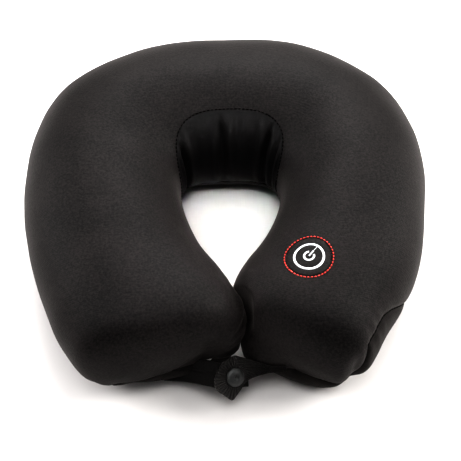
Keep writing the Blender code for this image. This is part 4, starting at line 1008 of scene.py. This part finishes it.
def strap_mesh(name, stations, thick, relief, n_along, n_across):
    """Strap from (a, b, c low, c high) stations, with relief(a, c, share of width, side) on both faces."""
    st = np.asarray(stations, float)
    t = np.linspace(0.0, len(st) - 1.0, n_along)
    rows = catmull(st, t)
    tan = np.gradient(rows[:, :2], axis=0)
    tan /= np.maximum(np.hypot(tan[:, 0], tan[:, 1])[:, None], 1e-9)
    v, f = [], []
    for side in (1.0, -1.0):
        for (a, b, lo, hi), (ta, tb) in zip(rows, tan):
            for k in range(n_across):
                w = k / (n_across - 1)
                c = lo + (hi - lo) * w
                edge = min(w, 1.0 - w) * (hi - lo)
                roundness = math.sqrt(max(0.0, 1.0 - (1.0 - min(1.0, edge / (0.5 * thick))) ** 2))
                h = 0.5 * thick * (0.35 + 0.65 * roundness)
                h += relief(a, c, w, side) * roundness
                v.append(tuple(plane_point(a - tb * h * side, b + ta * h * side, c)))
    n = n_along * n_across
    for i in range(n_along - 1):
        for k in range(n_across - 1):
            p = i * n_across + k
            f.append((p, p + 1, p + n_across + 1, p + n_across))
            f.append((n + p, n + p + n_across, n + p + n_across + 1, n + p + 1))
    for k in range(n_across - 1):
        for i in (0, n_along - 1):
            p = i * n_across + k
            q = (p, n + p, n + p + 1, p + 1)
            f.append(q if i == 0 else q[::-1])
    for i in range(n_along - 1):
        for k in (0, n_across - 1):
            p = i * n_across + k
            q = (p, p + n_across, n + p + n_across, n + p)
            f.append(q if k == 0 else q[::-1])
    return consistent(mesh_object(name, v, f))


HW = 0.00875
left_line = [(-0.0480, -0.0200, 0.0047), (-0.0390, -0.0165, 0.0045), (-0.0330, -0.0140, 0.0042),
             (-0.0270, -0.0105, 0.0038), (-0.0205, -0.0065, 0.0030), (-0.0145, -0.0042, 0.0018)]
left_line += [(a, lb + slope * (a - la), 0.0004) for a in (-0.0095, -0.0030, 0.0040, 0.0085)]


def left_relief(a, c, w, side):
    fold = -0.00028 * bell(w, 0.50, 0.035) + 0.00012 * bell(w, 0.44, 0.04) + 0.00012 * bell(w, 0.56, 0.04)
    twill = 0.00004 * math.sin(2 * math.pi * a / 0.0011)
    hem = 0.00010 * bell(w, 0.06, 0.03) + 0.00010 * bell(w, 0.94, 0.03)
    return fold + twill + hem


left_strap = strap_mesh("strap_smooth", [(a, b, c - HW, c + HW) for a, b, c in left_line], THICK_L,
                        left_relief, 170, 41)


def on_right(a):
    return rb + slope * (a - ra)


outline = [(-0.0132, -0.0056, 0.0006), (-0.0118, -0.0080, 0.0042), (-0.0088, -0.0104, 0.0088),
           (-0.0058, -0.0128, 0.0112), (-0.0030, -0.0150, 0.0130), (-0.0010, -0.0140, 0.0139),
           (0.0008, -0.0120, 0.0141), (0.0030, -0.0094, 0.0132), (0.0058, -0.0050, 0.0122)]
right_line = [(a, on_right(a), lo, hi) for a, lo, hi in outline]
be = on_right(0.0058)
right_line += [(0.0100, be - 0.0014, -0.0024, 0.0106), (0.0150, be - 0.0020, -0.0008, 0.0088),
               (0.0200, be - 0.0018, 0.0004, 0.0070), (0.0250, be - 0.0012, 0.0014, 0.0056),
               (0.0340, be - 0.0002, 0.0018, 0.0052)]


def right_relief(a, c, w, side):
    r = math.hypot(a, c)
    turn = math.degrees(math.atan2(-a, c)) if r > 1e-6 else 0.0
    fan = 0.5 - 0.5 * math.cos(2.0 * math.pi * turn / 9.4)
    run = 0.5 - 0.5 * math.cos(2.0 * math.pi * w * 13.0)
    mixw = float(smooth(np.array(a), -0.0010, 0.0035))
    rib = fan * (1.0 - mixw) + run * mixw
    flat = float(smooth(np.array(r), 0.0060, 0.0078))
    return 0.00085 * (rib - 0.5) * flat - 0.0002 * (1.0 - flat)


right_strap = strap_mesh("strap_ribbed", right_line, THICK_R, right_relief, 210, 121)

# ------------------------------------------------------------------ materials
black_knit = knit("knit_top", (0.0032, 0.0026, 0.0026), (0.0185, 0.0155, 0.0150),
                  0.60, 0.075, 0.5, 0.34, fuzz=2.2, spec=0.22)
# underside knit: a lighter copy of the top knit; its extra lightness is painted bounce light from the floor
base_knit = knit("knit_base_painted_bounce", (0.010, 0.0088, 0.0083), (0.019, 0.0168, 0.0160),
                 0.7, 0.06, 0.5, 0.3, spec=0.15)
neck_knit = knit("knit_neck", (0.0048, 0.0043, 0.0044), (0.0092, 0.0082, 0.0085),
                 0.50, 0.015, 0.35, 0.2, spec=0.22)
strap_knit = knit("webbing_smooth", (0.0090, 0.0080, 0.0078), (0.018, 0.0165, 0.016),
                  0.75, 0.12, 0.4, 0.35, 0.0009)
rib_knit = knit("webbing_rib", (0.0090, 0.0082, 0.0080), (0.026, 0.024, 0.023),
                0.6, 0.28, 0.35, 0.35, 0.0007, spec=0.4)
pocket_cloth = knit("lining", (0.05, 0.05, 0.055), (0.085, 0.085, 0.09), 0.9, 0.2, 0.5, 0.4, 0.0014)
white_thread = solid("thread_white", (0.66, 0.66, 0.67), (0.86, 0.86, 0.87), (0.45, 0.6),
                     0.0, 900.0, 0.5, 0.4)
red_thread = solid("thread_red", (0.60, 0.055, 0.045), (0.80, 0.12, 0.095), (0.45, 0.6),
                   0.0, 900.0, 0.4, 0.4)
dark_thread = solid("thread_dark", (0.0012, 0.0011, 0.0011), (0.0032, 0.003, 0.003), (0.6, 0.8),
                    0.0, 900.0, 0.4, 0.05)
bead_mat = solid("beads", (0.74, 0.74, 0.71), (0.88, 0.88, 0.86), (0.6, 0.8), 0.0, 60.0, 0.4, 0.4)

SLOTS = {
    "black_plastic": solid("snap_plastic", (0.026, 0.027, 0.0265), (0.044, 0.045, 0.0445), (0.34, 0.48),
                           0.0, 260.0, 0.05, 0.6),
    "snap_metal": solid("snap_metal", (0.07, 0.07, 0.072), (0.14, 0.14, 0.142), (0.3, 0.5),
                        0.8, 500.0, 0.1),
    "zip_black": solid("zip_coil", (0.010, 0.010, 0.011), (0.022, 0.022, 0.024), (0.4, 0.7),
                       0.0, 900.0, 0.5),
    "zip_metal": solid("zip_zinc", (0.30, 0.30, 0.31), (0.46, 0.46, 0.47), (0.2, 0.38), 1.0, 400.0, 0.1),
    "housing_plastic": solid("grey_shell", (0.50, 0.50, 0.48), (0.60, 0.60, 0.58), (0.4, 0.55),
                             0.0, 120.0, 0.2),
    "dark_plastic": solid("dark_shell", (0.035, 0.035, 0.038), (0.06, 0.06, 0.063), (0.35, 0.5),
                          0.0, 150.0, 0.15),
    "ivory_plastic": solid("ivory_shell", (0.62, 0.59, 0.50), (0.74, 0.71, 0.63), (0.35, 0.5),
                           0.0, 150.0, 0.12),
    "board": solid("board_mask", (0.015, 0.11, 0.045), (0.035, 0.17, 0.075), (0.25, 0.4), 0.0, 300.0, 0.1),
    "steel": solid("plain_steel", (0.50, 0.50, 0.51), (0.68, 0.68, 0.69), (0.18, 0.34),
                   1.0, 300.0, 0.08, 0.5, 0.0, (1, 1, 6)),
    "weight_metal": solid("weight_metal", (0.38, 0.36, 0.33), (0.50, 0.48, 0.44), (0.3, 0.45),
                          1.0, 350.0, 0.15),
    "cell_wrap": solid("cell_wrap", (0.02, 0.09, 0.20), (0.04, 0.14, 0.28), (0.2, 0.32),
                       0.0, 90.0, 0.03, 0.5, 0.4),
    "lead_red": solid("lead_red", (0.45, 0.02, 0.02), (0.58, 0.04, 0.035), (0.4, 0.55), 0.0, 300.0, 0.1),
    "lead_black": solid("lead_black", (0.012, 0.012, 0.012), (0.028, 0.028, 0.028), (0.4, 0.55),
                        0.0, 300.0, 0.1),
    "pocket_cloth": pocket_cloth,
    "cover_knit": black_knit,
    "base_knit": base_knit,
    "neck_knit": neck_knit,
    "beads": bead_mat,
    "white_thread": white_thread,
    "red_thread": red_thread,
    "webbing": strap_knit,
}
slot_of = {s["node"]: s["material_slot"] for s in frame["record"]["subparts"]}
for name, ob in frame["nodes"].items():
    dress(ob, SLOTS[slot_of[name]])

dress(cover, black_knit)
dress(neck, neck_knit)
dress(base, base_knit)
dress(patch, black_knit)
dress(beads, bead_mat)
dress(left_strap, strap_knit)
dress(right_strap, rib_knit)
for ob in bands:
    dress(ob, white_thread)
dress(red_ring, red_thread)
for ob in (neck_stitch, out_stitch, low_stitch, zip_stitch, pocket_seam):
    dress(ob, dark_thread)
dress(pocket, pocket_cloth)

# ------------------------------------------------------------------ what rides on what
for ob in (cover, neck, base, beads, left_strap, red_ring, neck_stitch, out_stitch, low_stitch, zip_stitch,
           pocket, pocket_seam):
    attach(ob, "pillow")
for ob in [patch] + bands:
    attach(ob, "press_button")
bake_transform(right_strap)
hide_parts("top_panel")
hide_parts("neck_panel")
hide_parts("bottom_panel")
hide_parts("bead_filling")
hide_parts("power_patch")
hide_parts("power_symbol")
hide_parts("stitch_ring")
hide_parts("left_strap")
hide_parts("right_strap")
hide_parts("module_pocket")

# ------------------------------------------------------------------ floor, light, camera
FAR = 3.0
floor = mesh_object("floor", [(-FAR, -FAR, 0), (FAR, -FAR, 0), (FAR, FAR, 0), (-FAR, FAR, 0)], [(0, 1, 2, 3)])
fm, fnt, fb = new_material("paper")
fn = node(fnt, "ShaderNodeTexNoise", Scale=3.0, Detail=2.0)
fc = ramp(fnt, fn.outputs["Fac"], [(0.3, (0.80, 0.775, 0.765)), (0.7, (0.83, 0.805, 0.795))])
fnt.links.new(fc.outputs["Color"], fb.inputs["Base Color"])
fb.inputs["Roughness"].default_value = 0.8
fb.inputs["Specular IOR Level"].default_value = 0.2
dress(floor, fm)

bpy.context.scene.view_settings.view_transform = "Standard"
bpy.context.scene.view_settings.look = "Very High Contrast"
world = bpy.data.worlds.new("studio")
world.use_nodes = True
bpy.context.scene.world = world
bg = world.node_tree.nodes["Background"]
bg.inputs["Color"].default_value = (1.0, 1.0, 1.0, 1.0)
bg.inputs["Strength"].default_value = 0.22


def area(name, place, target, size, power, colour=(1, 1, 1)):
    light = bpy.data.lights.new(name, "AREA")
    light.shape = "RECTANGLE"
    light.size, light.size_y = size
    light.energy = power
    light.color = colour
    ob = bpy.data.objects.new(name, light)
    COLL.objects.link(ob)
    ob.location = place
    ob.rotation_euler = (Vector(target) - Vector(place)).to_track_quat("-Z", "Y").to_euler()
    return ob


area("over_soft", (0.02, -0.40, 1.28), (0.0, 0.0, 0.05), (0.9, 0.6), 5.0)
hole = area("neck_soft", (0.0, -0.60, 0.82), (0.0, 0.015, 0.0), (0.10, 0.10), 0.036)
hole.data.spread = math.radians(11.0)
area("back_soft", (0.12, 1.0, 1.15), (0.0, 0.0, 0.05), (1.1, 0.7), 18.5)
area("right_soft", (1.15, 0.10, 0.75), (0.05, 0.0, 0.05), (0.8, 0.8), 15.0, (1.0, 0.99, 0.97))
area("left_soft", (-1.15, 0.20, 0.75), (-0.05, 0.0, 0.05), (0.8, 0.8), 11.0)

ELEV, AZ, ROLL = math.radians(48.42), math.radians(-0.63), math.radians(-1.49)
SENSOR, LENS_SHARE = 36.0, (860.5, 461.0)
EYE = Vector((-0.0022, -0.4439, 0.5119))
fwd = Vector((-math.sin(AZ) * math.cos(ELEV), math.cos(AZ) * math.cos(ELEV), -math.sin(ELEV)))
right = Vector((math.cos(AZ), math.sin(AZ), 0.0))
up = right.cross(fwd)
r2 = right * math.cos(ROLL) + up * math.sin(ROLL)
u2 = -right * math.sin(ROLL) + up * math.cos(ROLL)
cam = bpy.data.cameras.new("camera")
cam.sensor_fit = "HORIZONTAL"
cam.sensor_width = SENSOR
cam.lens = SENSOR * LENS_SHARE[0] / LENS_SHARE[1]
cam.clip_start = 0.01
view = bpy.data.objects.new("camera", cam)
COLL.objects.link(view)
basis = Matrix((r2, u2, -fwd)).transposed().to_4x4()
view.matrix_world = Matrix.Translation(EYE) @ basis
bpy.context.scene.camera = view
